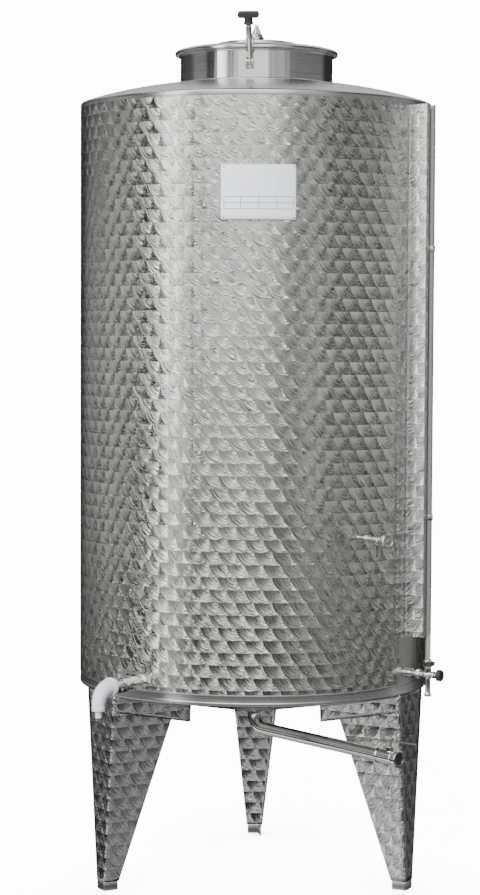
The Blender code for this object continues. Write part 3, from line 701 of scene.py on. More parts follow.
def offset(line: Grid, distance: float, closed: bool = False) -> Grid:
    """Move a line to its left.

    With m and n the unit normals of the two edges at a point, it moves by distance times
    2 (m + n) / |m + n|^2, which keeps it that far from both edges.
    """
    after = np.roll(line, -1, axis=0) - line
    if not closed:
        after[-1] = after[-2]
    after /= np.linalg.norm(after, axis=1, keepdims=True)
    before = np.roll(after, 1, axis=0)
    if not closed:
        before[0] = after[0]
    both = (before + after) @ np.array(((0.0, 1.0), (-1.0, 0.0)))
    return line + distance * 2.0 * both / (both ** 2).sum(axis=1, keepdims=True)


def looped(line: Grid) -> Grid:
    """Close a line with its first point."""
    return np.concatenate((line, line[:1]))


def section(line: Grid, wall: float) -> Grid:
    """Section of a sheet whose wall lies to the left of a line."""
    return np.concatenate((line, offset(line, wall)[::-1]))


def walled(line: Grid, wall: float) -> Grid:
    """Closed section of a sheet whose wall lies to the left of a line."""
    return looped(section(line, wall))


def lengths(line: Grid) -> Grid:
    """Length of a line up to each of its points."""
    return np.concatenate(([0.0], np.cumsum(np.linalg.norm(np.diff(line, axis=0), axis=1))))


def gridded(*parts: Grid) -> Grid:
    """Grid of places whose parts are stretched to one size."""
    return np.stack(np.broadcast_arrays(*parts), axis=-1)


def cone_height(radius: Grid) -> Grid:
    """Height of the bottom cone at a radius."""
    return CONE_RIM + 0.0005 - CONE_SLOPE * (SHELL - radius)


def at(x: float, z: float) -> Matrix:
    """Move in a frame's upright plane."""
    return Matrix.Translation((x, 0.0, z))


def turned(profile: Grid, steps: int, start: float = 0.0, flats: tuple[int, float] = (0, 0.0)) -> Shape:
    """Turn a line of radius and height about the upright axis.

    A point is the radius times the cosine and sine of the angle, with the height as it is. With
    flats, the radius is at most their distance over the cosine of the angle from the nearest one.

    Args:
        profile: radius and height of each point, from the bottom up on the outer side.
        steps: parts of the turn.
        start: first angle, in radians.
        flats: number of flats, as on a nut, and their distance from the axis.

    Returns:
        The surface, with the arc and the run of the line as its place on the sheet.
    """
    angles = start + np.linspace(0.0, TAU, steps + 1)
    radius, height = profile[:, :1], profile[:, 1:]
    if flats[0]:
        share = TAU / flats[0]
        radius = np.minimum(radius, flats[1] / np.cos((angles + share / 2.0) % share - share / 2.0))
    points = gridded(radius * np.cos(angles), radius * np.sin(angles), height)
    flat = gridded(angles * float(profile[:, 0].max()), lengths(profile)[:, None] + profile[0, 1])
    return Shape().grid(points[:, :-1], True, flat)


def lathe(corners: list[tuple[float, ...]], steps: int, flats: tuple[int, float] = (0, 0.0),
          curve: int = 4) -> Shape:
    """Turn a solid with flat ends about the upright axis.

    Args:
        corners: radius, height and cut of each corner of its side, from the bottom up.
        steps: parts of the turn.
        flats: number of flats and their distance from the axis.
        curve: parts of each rounded corner.

    Returns:
        The closed solid.
    """
    foot, top = (0.0, corners[0][1]), (0.0, corners[-1][1])
    return turned(rounded([foot, *corners, top], steps=curve), steps, flats=flats)


def pin(end: float, shoulder: float, head: float, cut: float) -> Shape:
    """Rod with a rounded head at each end, about its middle.

    Args:
        end: distance of the ends from the middle.
        shoulder: distance at which the heads start.
        head: radius of the heads.
        cut: cut of their edges.

    Returns:
        The upright rod.
    """
    upper = [(PIN, shoulder), (head, shoulder), (head, end, cut)]
    lower = [(radius, -height, *cuts) for radius, height, *cuts in reversed(upper)]
    return lathe(lower + upper, 32)


def gland(wide: float, shoulder: float, top: float, flat: float) -> Shape:
    """Gland with six flats on a valve's stem.

    Args:
        wide: radius of its foot.
        shoulder: height at which it narrows.
        top: height of its upper end.
        flat: distance of the flats from the axis.

    Returns:
        The upright gland.
    """
    narrow = wide - 0.004
    side = [(wide, 0.01), (wide, shoulder, 0.0008),
            (narrow, shoulder + 0.001, 0.0006), (narrow, top, 0.0004)]
    return lathe(side, 60, (6, flat))


def swept(path: Grid, radii: Grid, sides: int) -> Shape:
    """Carry a circle along a path in the plane of X and Z.

    A point is the path's, plus the radius times (n cos a + y sin a), where n is the path's normal in
    its plane and y is the direction across it. Flat caps close the ends.

    Args:
        path: X and Z of each station.
        radii: radius at each station.
        sides: points round the circle.

    Returns:
        The closed tube.
    """
    run = np.gradient(path, axis=0)
    run /= np.linalg.norm(run, axis=1, keepdims=True)
    angles = np.linspace(0.0, TAU, sides, endpoint=False)
    out = radii[:, None] * np.cos(angles)
    x = path[:, :1] + run[:, 1:] * out
    z = path[:, 1:] - run[:, :1] * out
    points = gridded(x, radii[:, None] * np.sin(angles), z)
    return Shape().grid(points, True).cap(points[0]).cap(points[-1])


def slab(outline: Grid, low: float, high: float, edge: float = 0.0005, steps: int = 1,
         hole: tuple[float, float, float] = (0.0, 0.0, 0.0)) -> Shape:
    """Plate with an outline in X and Y and its thickness along Z.

    Its edges are quarter circles: at the angle t, the outline is drawn in by the edge times
    1 - sin t, at the edge times 1 - cos t from the face. Round a hole, each point of the outline has
    its partner on the circle in the same direction from the hole's middle.

    Args:
        outline: the closed outline, against the clock.
        low: height of the lower face.
        high: height of the upper face.
        edge: radius of the edges.
        steps: parts of an edge's quarter circle.
        hole: middle and radius of a round hole, or zeros for none.

    Returns:
        The closed plate.
    """
    t = np.linspace(0.0, math.pi / 2.0, steps + 1)
    rings = [(edge * (1.0 - math.sin(a)), low + edge * (1.0 - math.cos(a))) for a in t]
    rings += [(draw, low + high - height) for draw, height in reversed(rings)]
    loops = [np.column_stack((offset(outline, draw, True), np.full(len(outline), height)))
             for draw, height in rings]
    if not hole[2]:
        return Shape().grid(np.stack(loops), True).cap(loops[0]).cap(loops[-1])
    centre = np.array(hole[:2])
    ray = outline - centre
    circle = centre + ray / np.linalg.norm(ray, axis=1, keepdims=True) * hole[2]
    ends = [np.column_stack((circle, np.full(len(outline), height))) for height in (low, high)]
    return Shape().grid(np.stack([ends[0]] + loops + [ends[1], ends[0]]), True)


def sheet(place: Grid, flat: Grid, wall: float, name: str, frame: Matrix,
          side: float = 1.0) -> bpy.types.Object:
    """Make a piece of sheet from its outer face.

    Args:
        place: rows by columns of points on the outer face.
        flat: their places on the flat sheet.
        wall: thickness, laid inwards.
        name: the piece's name.
        frame: where the sheet's own frame lies.
        side: minus one where the sheet is the mirror image, so that its faces are turned round.

    Returns:
        The piece, with its thickness as a modifier.
    """
    order = slice(None, None, -1 if side < 0.0 else 1)
    piece = Shape().grid(place[:, order], False, flat[:, order]).piece(name, frame, closed=False)
    solid = piece.modifiers.new("wall", "SOLIDIFY")
    solid.thickness = wall
    solid.offset = -1.0
    solid.use_even_offset = True
    return piece


def box(x: tuple[float, float], y: tuple[float, float], cut: float, steps: int = 4) -> Grid:
    """Outline of a rectangle with rounded corners."""
    corners = [(x[0], y[0], cut), (x[1], y[0], cut), (x[1], y[1], cut), (x[0], y[1], cut)]
    return rounded(corners, closed=True, steps=steps)


def cheeks(outline: Grid, lows: tuple[float, float], wall: float, edge: float = 0.0005) -> Shape:
    """Two equal plates across the frame, which start at the two places."""
    pair = Shape()
    for low in lows:
        pair.add(slab(outline, low, low + wall, edge), ACROSS)
    return pair


def eye(half: float) -> Shape:
    """Round plate bored for a pin, half as thick on each side of its middle."""
    angles = np.linspace(0.0, TAU, 40, endpoint=False)
    ring = EYE * np.column_stack((np.cos(angles), np.sin(angles)))
    return slab(ring, -half, half, 0.0006, hole=(0.0, 0.0, EYE_BORE))


@dataclass(frozen=True)
class Look:
    """A finish and the record's slot that it belongs to."""

    slot: Slot
    material: bpy.types.Material


def dress(piece: bpy.types.Object, look: Look, *nodes: str, body: Body = Body.TANK,
          sharp: float = 32.0) -> None:
    """Give a piece its finish and its body, and let it stand for CAD nodes.

    Args:
        piece: the piece.
        look: its finish and slot.
        nodes: the CAD nodes that it stands for.
        body: the body that it rides on.
        sharp: angle over which an edge is drawn sharp.
    """
    piece.data.materials.append(look.material)
    piece.data.shade_smooth()
    piece.data.set_sharp_from_angle(angle=math.radians(sharp))
    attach(piece, body.value)
    if nodes:
        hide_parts(*nodes)
    LOG.info("%s: %d faces on %s", piece.name, len(piece.data.polygons), body.value)


@dataclass(frozen=True)
class Axis:
    """The tank's upright axis, which stands a little off the origin."""

    x: float
    y: float

    @classmethod
    def found(cls) -> "Axis":
        """Take the axis from the box of the top end."""
        low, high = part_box("top_head")
        return cls((low[0] + high[0]) / 2.0, (low[1] + high[1]) / 2.0)

    def upright(self) -> Matrix:
        """Frame on the axis, unturned."""
        return Matrix.Translation((self.x, self.y, 0.0))

    def facing(self, azimuth: float, height: float = 0.0, tilt: float = 0.0) -> Matrix:
        """Frame whose X points outwards at an azimuth from the front, tipped down by the tilt."""
        turn = Matrix.Rotation(math.radians(azimuth - 90.0), 4, "Z")
        tip = Matrix.Rotation(math.radians(tilt), 4, "Y")
        return Matrix.Translation((self.x, self.y, height)) @ turn @ tip


class Looks:
    """Every finish of the tank with its slot, made once."""

    def __init__(self, axis: Axis) -> None:
        """Build the materials."""
        centre = (axis.x, axis.y)
        self.swirled = Look(Slot.SWIRLED, SwirlFinish(plain=(2.583, 2.704)).build())
        self.folded = Look(Slot.SWIRLED, SwirlFinish("swirled_folded_sheet", (0.6, 0.6, 0.595)).build())
        self.ends = Look(Slot.BRUSHED, TurnedFinish("turned_ends", centre).build())
        lid = TurnedFinish("turned_lid", centre, roughness=0.16, tilt=0.1)
        self.lid = Look(Slot.BRUSHED, lid.build())
        neck = TurnedFinish("turned_neck", centre, roughness=0.12, tilt=0.05, streak=0.3)
        self.neck = Look(Slot.POLISHED, neck.build())
        self.polished = Look(Slot.POLISHED, PolishedFinish().build())
        self.satin = Look(Slot.POLISHED, PolishedFinish("satin_fittings", (0.66, 0.66, 0.65), 0.24).build())
        self.black = Look(Slot.BLACK, MouldedFinish("black_moulded", (0.022, 0.022, 0.023), 0.34).build())
        self.white = Look(Slot.WHITE, MouldedFinish("white_moulded", (0.72, 0.71, 0.76), 0.3).build())
        rubber = MouldedFinish("white_rubber_ring", (0.74, 0.74, 0.72), 0.55, 0.0002)
        self.rubber = Look(Slot.RUBBER, rubber.build())
        self.tube = Look(Slot.CLEAR, TubeFinish().build())
        self.plate = Look(Slot.PLATE, PlateFinish().build())


@dataclass(frozen=True)
class Vessel:
    """The rolled shell and its two ends."""

    axis: Axis
    radius: float = SHELL
    wall: float = WALL
    band_low: float = CONE_RIM
    low: float = 0.5435
    high: float = 2.0115
    rim: float = 2.026
    rise: float = 0.052
    power: float = 2.6
    neck: float = NECK
    outlet: float = 0.016
    joint: float = 0.0003
    parts: int = 256

    def build(self, looks: Looks) -> None:
        """Make the shell, then the ends."""
        place = self.axis.upright()
        self.shell(place, looks.swirled)
        self.top(place, looks.ends)
        self.bottom(place, looks.ends)

    def dome(self, radius: Grid) -> Grid:
        """Height of the dome: its rise times 1 - (r / R)^2.6, scaled to be whole at the neck."""
        full = 1.0 - (self.neck / self.radius) ** self.power
        return self.rim + self.rise * (1.0 - (radius / self.radius) ** self.power) / full

    def shell(self, place: Matrix, look: Look) -> None:
        """One continuous sheet in place of the four quarters."""
        rows = np.linspace(self.low, self.high, 80)
        side = np.column_stack((np.full_like(rows, self.radius), rows))
        skin = turned(walled(side, self.wall), self.parts, math.pi / 2.0)
        quarters = ("shell_front", "shell_right", "shell_back", "shell_left")
        dress(skin.piece("shell_skin", place), look, *quarters)

    def top(self, place: Matrix, look: Look) -> None:
        """Band with an eased joint, rolled over into the dome, and a weld round the neck."""
        r, n = self.radius, self.neck
        low = self.high + self.joint
        radii = np.linspace(r - 0.01, n + 0.003, 28)
        dome = np.column_stack((radii, self.dome(radii)))
        edge = [(r - 0.001, low), (r - 0.0003, low + 0.0003, 0.0002), (r - 0.0003, low + 0.0022, 0.0004),
                (r, low + 0.003, 0.0004), (r, self.rim, 0.006), tuple(dome[0])]
        line = np.concatenate((rounded(edge, steps=7), dome[1:]))
        head = turned(walled(line, self.wall), self.parts)
        root = float(self.dome(n))
        weld = rounded([(n + 0.0042, root - 0.0012), (n + 0.004, root + 0.0012, 0.001),
                        (n + 0.0014, root + 0.0034, 0.0012), (n + 0.0004, root + 0.0034),
                        (n + 0.0004, root - 0.0012), (n + 0.0042, root - 0.0012)])
        head.add(turned(weld, self.parts))
        dress(head.piece("top_end", place), look, "top_head")

    def bottom(self, place: Matrix, look: Look) -> None:
        """Shallow cone from the outlet out to a fold, and up into the bottom band."""
        r, foot = self.radius, self.band_low
        high = self.low - self.joint
        run = np.linspace(self.outlet, r - 0.012, 20)
        cone = np.column_stack((run, cone_height(run)))
        edge = [tuple(cone[-1]), (r - 0.0012, foot, 0.0022), (r, foot + 0.0022, 0.001),
                (r, foot + 0.0078, 0.0008), (r - 0.0008, foot + 0.0092, 0.0008),
                (r - 0.0008, high - 0.003, 0.0006), (r - 0.0001, high - 0.0018, 0.0005), (r - 0.0003, high)]
        line = np.concatenate((cone[:-1], rounded(edge, steps=5)))
        head = turned(walled(line, self.wall), self.parts)
        dress(head.piece("bottom_end", place), look, "bottom_head")


@dataclass(frozen=True)
class Manhole:
    """Neck, lid, gasket, vent and the hinge at the back."""

    axis: Axis
    radius: float = NECK
    wall: float = WALL
    low: float = 2.07
    high: float = 2.156
    base: float = 2.1435
    rim: float = 0.2132
    lift: float = 0.0455
    skirt: float = 0.011
    hinge: tuple[float, float] = (0.23, 2.152)
    hinge_azimuth: float = 180.0
    parts: int = 224

    def build(self, looks: Looks) -> None:
        """Make the fixed pieces, then what rides on the lid."""
        upright = self.axis.upright()
        self.neck(upright, looks.neck)
        self.lid(upright, looks.lid)
        self.gasket(upright, looks.rubber)
        self.vent(upright, looks.polished)
        back = self.axis.facing(self.hinge_azimuth)
        self.bracket(back, looks.polished)
        self.strap(back, looks.polished)

    def neck(self, place: Matrix, look: Look) -> None:
        """Plain ring with its top edge rolled outwards over a wire."""
        r, inner, top = self.radius, self.radius - self.wall, self.high
        rows = [(r, height) for height in np.linspace(self.low, top - 0.008, 12)]
        roll = [(r, top - 0.0058, 0.001), (r + 0.0034, top - 0.0044, 0.0012),
                (r + 0.0036, top - 0.0012, 0.0012), (r + 0.0012, top, 0.001), (inner, top, 0.0006),
                (inner, top - 0.006), (inner, self.low), (r, self.low)]
        ring = turned(rounded(rows + roll, steps=5), self.parts)
        dress(ring.piece("manhole_ring", place), look, "manhole_neck")

    def lid(self, place: Matrix, look: Look) -> None:
        """Pressed skin: a turned-in skirt, a soft shoulder, a sloping ring and the raised middle."""
        line = rounded([
            (self.rim - 0.0012, self.skirt), (self.rim, self.skirt + 0.001, 0.0008),
            (self.rim, 0.0195, 0.006), (0.207, 0.0228, 0.0035), (0.19, 0.0272, 0.01), (0.1085, 0.03, 0.003),
            (0.104, 0.0442, 0.003), (0.03, self.lift), (0.0, self.lift),
        ], steps=6)
        skin = turned(walled(line, self.wall), self.parts).placed(at(0.0, self.base))
        dress(skin.piece("lid_skin", place), look, "lid", body=Body.LID)

    def gasket(self, place: Matrix, look: Look) -> None:
        """Soft ring under the lid, rounded where it meets the neck."""
        low = self.high + 0.0003
        line = rounded([
            (0.2113, low + 0.0004, 0.001), (0.2113, 2.16, 0.001), (0.207, 2.164, 0.001),
            (0.194, 2.1676, 0.001), (0.194, low, 0.0015), (0.204, low),
        ], closed=True)
        dress(turned(looped(line), 192).piece("gasket_ring", place), look, "lid_gasket", body=Body.LID)

    def vent(self, place: Matrix, look: Look) -> None:
        """Screwed seat, and a cap with six flats that narrows to its tip."""
        top = self.base + self.lift + 0.0003
        low, tip = top + 0.0168, self.base + 0.0935
        seat = lathe([(0.0215, top, 0.0008), (0.0215, top + 0.005, 0.001), (0.019, top + 0.0062, 0.0008),
                      (0.019, top + 0.0152, 0.001), (0.0175, top + 0.0162)], 96)
        cap = lathe([(0.0165, low, 0.0006), (0.0165, low + 0.0045, 0.001), (0.014, low + 0.006, 0.001),
                     (0.0085, tip - 0.0125, 0.003), (0.005, tip - 0.006, 0.0012), (0.005, tip, 0.002)],
                    96, (6, 0.0158))
        dress(seat.piece("vent_seat_ring", place), look, "vent_seat", body=Body.LID)
        dress(cap.piece("vent_cap_knob", place), look, "vent_cap", body=Body.LID)

    def bracket(self, place: Matrix, look: Look) -> None:
        """Two ears and their foot on the neck, with a round-headed pin."""
        outline = rounded([
            (0.2, 2.105), (0.215, 2.105, 0.004), (0.238, 2.14, 0.006), (0.238, 2.16, 0.006),
            (0.222, 2.16, 0.005), (0.219, 2.138, 0.004), (0.203, 2.132, 0.002), (0.2, 2.132),
        ], closed=True)
        ears = cheeks(outline, (-0.024, 0.018), 0.006, 0.0006)
        ears.add(slab(box((0.2, 0.2058), (2.1052, 2.1318), 0.0008), -0.0235, 0.0235), ACROSS)
        dress(ears.piece("hinge_ears", place), look, "hinge_bracket")
        rod = pin(0.026, 0.0243, 0.0045, 0.0012).placed(at(*self.hinge) @ ACROSS)
        dress(rod.piece("hinge_rod", place), look, "hinge_pin")

    def strap(self, place: Matrix, look: Look) -> None:
        """Strap from the lid's rim to the knuckle that turns on the pin."""
        outline = rounded([(0.2136, 2.145), (0.227, 2.1455), (0.227, 2.1585), (0.2136, 2.159)], closed=True)
        strap = slab(outline, -0.0172, 0.0172, 0.001).placed(ACROSS)
        strap.add(eye(0.0175), at(*self.hinge) @ ACROSS)
        dress(strap.piece("hinge_strap_plate", place), look, "hinge_strap", body=Body.LID)


@dataclass(frozen=True)
class Clamp:
    """Ears on the neck, fork on the lid, and the swing bolt with its T-shaped hand knob."""

    axis: Axis
    azimuth: float = -4.7
    pivot: tuple[float, float] = (0.222, 2.118)
    lean: float = 20.0
    knob_low: float = 0.095

    def build(self, looks: Looks) -> None:
        """Make the fixed ears, the fork, the bolt and its knob."""
        place = self.axis.facing(self.azimuth)
        self.ears(place, looks.polished)
        self.fork(place, looks.polished)
        swing = place @ at(*self.pivot) @ Matrix.Rotation(math.radians(self.lean), 4, "Y")
        self.bolt(swing, looks.polished)
        self.knob(swing, looks.black)

    def ears(self, place: Matrix, look: Look) -> None:
        """Two ears on a foot that fits the neck, and the pin through them."""
        outline = rounded([
            (0.1998, 2.103), (0.218, 2.103, 0.004), (0.23, 2.111, 0.004), (0.23, 2.124, 0.004),
            (0.224, 2.13, 0.004), (0.1998, 2.13),
        ], closed=True)
        ears = cheeks(outline, (-0.0097, 0.0055), 0.0042)
        ears.add(slab(box((0.1998, 0.206), (2.1032, 2.1298), 0.0008), -0.0092, 0.0092), ACROSS)
        dress(ears.piece("clamp_fork", place), look, "clamp_ears")
        rod = pin(0.0115, 0.01, 0.0042, 0.001).placed(at(*self.pivot) @ ACROSS)
        dress(rod.piece("clamp_rod", place), look, "clamp_pin")

    def fork(self, place: Matrix, look: Look) -> None:
        """Two prongs on the lid's front edge, joined behind the slot for the bolt."""
        outline = rounded([
            (0.2136, 2.145), (0.2305, 2.156, 0.004), (0.2305, 2.177, 0.004), (0.2052, 2.177, 0.003),
            (0.2052, 2.1696), (0.2098, 2.168), (0.2136, 2.161),
        ], closed=True)
        prongs = cheeks(outline, (-0.0105, 0.0058), 0.0047)
        bridge = rounded([(0.21, 2.1684), (0.2138, 2.1614), (0.2152, 2.1614), (0.2152, 2.1762),
                          (0.206, 2.1762), (0.206, 2.1698)], closed=True)
        prongs.add(slab(bridge, -0.01, 0.01, 0.0004), ACROSS)
        dress(prongs.piece("lid_fork", place), look, "lid_lug", body=Body.LID)

    def bolt(self, swing: Matrix, look: Look) -> None:
        """Eye on the pin, threaded rod and a smooth sleeve with a groove under the knob."""
        crests = np.arange(0.01, 0.061, 0.0007)
        thread = np.column_stack((0.0041 + 0.0004 * (np.arange(len(crests)) % 2), crests))
        high = self.knob_low - 0.0003
        foot = np.array(((0.0, 0.0066), (0.0036, 0.0066), (0.0045, 0.008)))
        sleeve = rounded([(0.0042, 0.0612), (0.006, 0.0612), (0.0075, 0.0632, 0.001),
                          (0.0075, high - 0.007, 0.0004), (0.0064, high - 0.0062, 0.0003),
                          (0.0064, high - 0.0042, 0.0003), (0.0075, high - 0.0034, 0.0004),
                          (0.0075, high, 0.0008), (0.0, high)])
        rod = eye(0.005).placed(ACROSS).add(turned(np.concatenate((foot, thread, sleeve)), 48))
        dress(rod.piece("swing_bolt_rod", swing), look, "swing_bolt", body=Body.BOLT, sharp=45.0)

    def knob(self, swing: Matrix, look: Look) -> None:
        """Rounded bar with a round hole near one end, on a hub that widens downwards."""
        outline = box((-0.027, 0.027), (0.1106, 0.1275), 0.0068)
        bar = slab(outline, -0.0085, 0.0085, 0.004, 5, (0.0185, 0.1194, 0.0022)).placed(FACING)
        low = self.knob_low
        bar.add(lathe([(0.0125, low, 0.0012), (0.0128, 0.0985, 0.0012), (0.0112, 0.1, 0.0012),
                       (0.0104, 0.109, 0.003), (0.0125, 0.1125), (0.008, 0.115)], 56))
        dress(bar.piece("hand_knob", swing), look, "clamp_knob", body=Body.BOLT, sharp=40.0)


@dataclass(frozen=True)
class NamePlate:
    """Thin bare plate rolled to the shell, with a rivet in each corner."""

    axis: Axis
    azimuth: float = 0.8
    radius: float = 0.4613
    wall: float = 0.001
    span: float = 23.0
    low: float = 1.7085
    high: float = 1.844
    corner: float = 0.005
    inset: float = 0.0065

    def build(self, looks: Looks) -> None:
        """Make the plate and its rivets.

        At a place u along the plate, a column keeps its whole height until one corner radius from
        the end, and from there loses c - sqrt(c^2 - (|u| - w + c)^2) at top and bottom.
        """
        half = math.radians(self.span / 2.0) * self.radius
        u = half * np.sin(np.linspace(-math.pi / 2.0, math.pi / 2.0, 65))
        past = np.maximum(np.abs(u) - half + self.corner, 0.0)
        loss = self.corner - np.sqrt(np.maximum(self.corner ** 2 - past ** 2, 0.0))
        v = np.linspace(0.0, 1.0, 13)[:, None]
        z = (self.low + loss) + v * (self.high - self.low - 2.0 * loss)
        turn = u / self.radius
        points = gridded(self.radius * np.cos(turn), self.radius * np.sin(turn), z)
        place = self.axis.facing(self.azimuth)
        dress(sheet(points, gridded(u + half, z), self.wall, "bare_plate", place), looks.plate, "name_plate")
        self.rivets(half, place, looks.polished)

    def rivets(self, half: float, place: Matrix, look: Look) -> None:
        """Low heads near the corners."""
        r = self.radius
        head = rounded([(0.0022, r - 0.0004), (0.0022, r + 0.0004, 0.0003), (0.0012, r + 0.0014, 0.0008),
                        (0.0, r + 0.0014)])
        heads = Shape()
        for side in (-1.0, 1.0):
            turn = Matrix.Rotation(side * (half - self.inset) / r, 4, "Z")
            for height in (self.low + self.inset, self.high - self.inset):
                heads.add(turned(head, 24), at(0.0, height) @ turn @ ALONG)
        dress(heads.piece("plate_rivets", place), look)


@dataclass(frozen=True)
class Gauge:
    """Two folded guard rails, the sight tube with its clips, and the valve at the foot."""

    axis: Axis
    azimuth: float = 59.25
    shell: float = SEAT
    low: float = 0.665
    high: float = 2.008
    half: float = 0.0225
    reach: float = 0.511
    flange: float = 0.038
    lip: float = 0.0115
    wall: float = WALL
    tube: float = 0.515
    bore: float = 0.0055
    tube_radius: float = 0.0075
    nut_top: float = 0.606
    tube_top: float = 1.995
    valve: float = 0.568
    clips: tuple[tuple[str, float], ...] = (("lower", 0.969), ("upper", 1.647))

    def build(self, looks: Looks) -> None:
        """Make the rails, the tube and the fittings."""
        place = self.axis.facing(self.azimuth)
        for name, side in (("near", -1.0), ("far", 1.0)):
            self.rail(name, side, place, looks.folded)
        self.sight(place, looks.tube)
        for name, height in self.clips:
            self.clip(name, place @ at(self.tube, height), looks.polished)
        foot = place @ at(0.0, self.valve)
        self.body(foot, looks.polished)
        self.nut(foot, looks)
        self.knob(foot, looks.black)

    def rail(self, name: str, side: float, place: Matrix, look: Look) -> None:
        """Foot on the shell, wall outwards and lip turned in, with rounded folds."""
        turns = np.linspace(self.half + self.flange, self.half + 0.004, 7) / self.shell
        foot = [(self.shell * math.cos(t), self.shell * math.sin(t)) for t in turns]
        rest = [(self.shell, self.half, 0.0028), (self.reach, self.half, 0.0022),
                (self.reach, self.half - self.lip)]
        line = section(rounded(foot + rest), self.wall)
        rows = np.linspace(self.low, self.high, 60)[:, None]
        run = lengths(line)
        points = gridded(line[:, 0], side * line[:, 1], rows)
        shape = Shape().grid(points, True, gridded(np.append(run, run[-1] + self.wall), rows))
        shape.cap(points[0]).cap(points[-1])
        dress(shape.piece("guard_rail_" + name, place), look, "gauge_guard_" + name)

    def sight(self, place: Matrix, look: Look) -> None:
        """Hollow clear tube, open at the top."""
        line = np.array(((self.tube_radius, self.nut_top + 0.0003), (self.tube_radius, self.tube_top)))
        pipe = turned(walled(line, self.tube_radius - self.bore), 40).placed(at(self.tube, 0.0))
        dress(pipe.piece("sight_pipe", place), look, "gauge_tube")

    def clip(self, name: str, place: Matrix, look: Look) -> None:
        """Ring round the tube on a stud with a collar on the shell."""
        inner = self.tube_radius + 0.0003
        ring = rounded([(inner + 0.002, -0.007, 0.0006), (inner + 0.002, 0.007, 0.0006),
                        (inner, 0.007, 0.0003), (inner, -0.007, 0.0003)], closed=True)
        start = self.shell - self.tube
        stud = lathe([
            (0.0075, start, 0.0004), (0.0075, start + 0.0025, 0.0008), (0.0036, start + 0.0035, 0.0008),
            (0.0036, -inner - 0.006, 0.0006), (0.0052, -inner - 0.0052, 0.0006), (0.0052, -inner - 0.001),
        ], 32)
        clip = turned(looped(ring), 48).add(stud, ALONG)
        dress(clip.piece("tube_clip_" + name, place), look, "gauge_clip_" + name)

    def body(self, place: Matrix, look: Look) -> None:
        """Valve body with its hexagon, and the spout under the tube."""
        valve = lathe([
            (0.012, self.shell, 0.0004), (0.012, 0.472, 0.001), (0.0076, 0.4745, 0.0008),
            (0.0076, 0.4845, 0.0006), (0.0115, 0.4855, 0.0004), (0.0115, 0.4955, 0.0004),
            (0.008, 0.4965, 0.0006), (0.008, 0.503, 0.0008), (0.0098, 0.507, 0.003),
            (0.0098, 0.523, 0.003), (0.0078, 0.527, 0.0008), (0.009, 0.529, 0.0006),
            (0.009, 0.5345, 0.0006), (0.0055, 0.535, 0.0004), (0.0055, 0.54),
        ], 48, curve=3).placed(ALONG)
        hexagon = rounded([(0.006, 0.4855), (0.0128, 0.4855, 0.001), (0.0138, 0.487, 0.0004),
                           (0.0138, 0.494, 0.0004), (0.0128, 0.4955, 0.001), (0.006, 0.4955)])
        valve.add(turned(looped(hexagon), 96, flats=(6, 0.0119)), ALONG)
        low = -0.056
        spout = lathe([(0.0088, low, 0.0005), (0.0095, low + 0.0015, 0.0005), (0.0092, low + 0.008, 0.001),
                       (0.0072, low + 0.0105, 0.0012), (0.007, -0.01, 0.002), (0.0088, -0.006, 0.001),
                       (0.0088, 0.016, 0.001), (0.0098, 0.018, 0.0006), (0.0098, 0.0208, 0.0006)], 48)
        valve.add(spout, at(self.tube, 0.0))
        dress(valve.piece("gauge_valve", place), look, "gauge_valve_body")

    def nut(self, place: Matrix, looks: Looks) -> None:
        """Tube nut with six flats, and its black wing."""
        middle = at(self.tube, 0.0)
        nut = lathe([(0.0122, 0.0213, 0.0008), (0.0132, 0.023, 0.0006), (0.0132, 0.0335, 0.0006),
                     (0.0118, 0.0348, 0.0006), (0.01, 0.0352, 0.0004),
                     (0.0095, self.nut_top - self.valve, 0.0006)], 96, (6, 0.0116)).placed(middle)
        dress(nut.piece("tube_nut", place), looks.polished, "gauge_tube_nut")
        outline = rounded([(0.0105, 0.0225), (0.0165, 0.0225, 0.002), (0.02, 0.029, 0.002),
                           (0.02, 0.0345, 0.002), (0.0105, 0.0345)], closed=True)
        wing = slab(outline, -0.0022, 0.0022, 0.0008, 3).placed(middle @ ACROSS)
        dress(wing.piece("nut_wing", place), looks.black)

    def knob(self, place: Matrix, look: Look) -> None:
        """Black knob with twelve flats on the valve's stem."""
        knob = lathe([(0.011, 0.5403, 0.001), (0.0125, 0.5418, 0.001), (0.015, 0.5425, 0.0012),
                      (0.015, 0.5525, 0.002), (0.0125, 0.5553, 0.002), (0.006, 0.5553, 0.001),
                      (0.005, 0.5543, 0.0006)], 96, (12, 0.0147)).placed(ALONG)
        dress(knob.piece("gauge_knob_disc", place), look, "gauge_valve_knob", body=Body.GAUGE_KNOB)


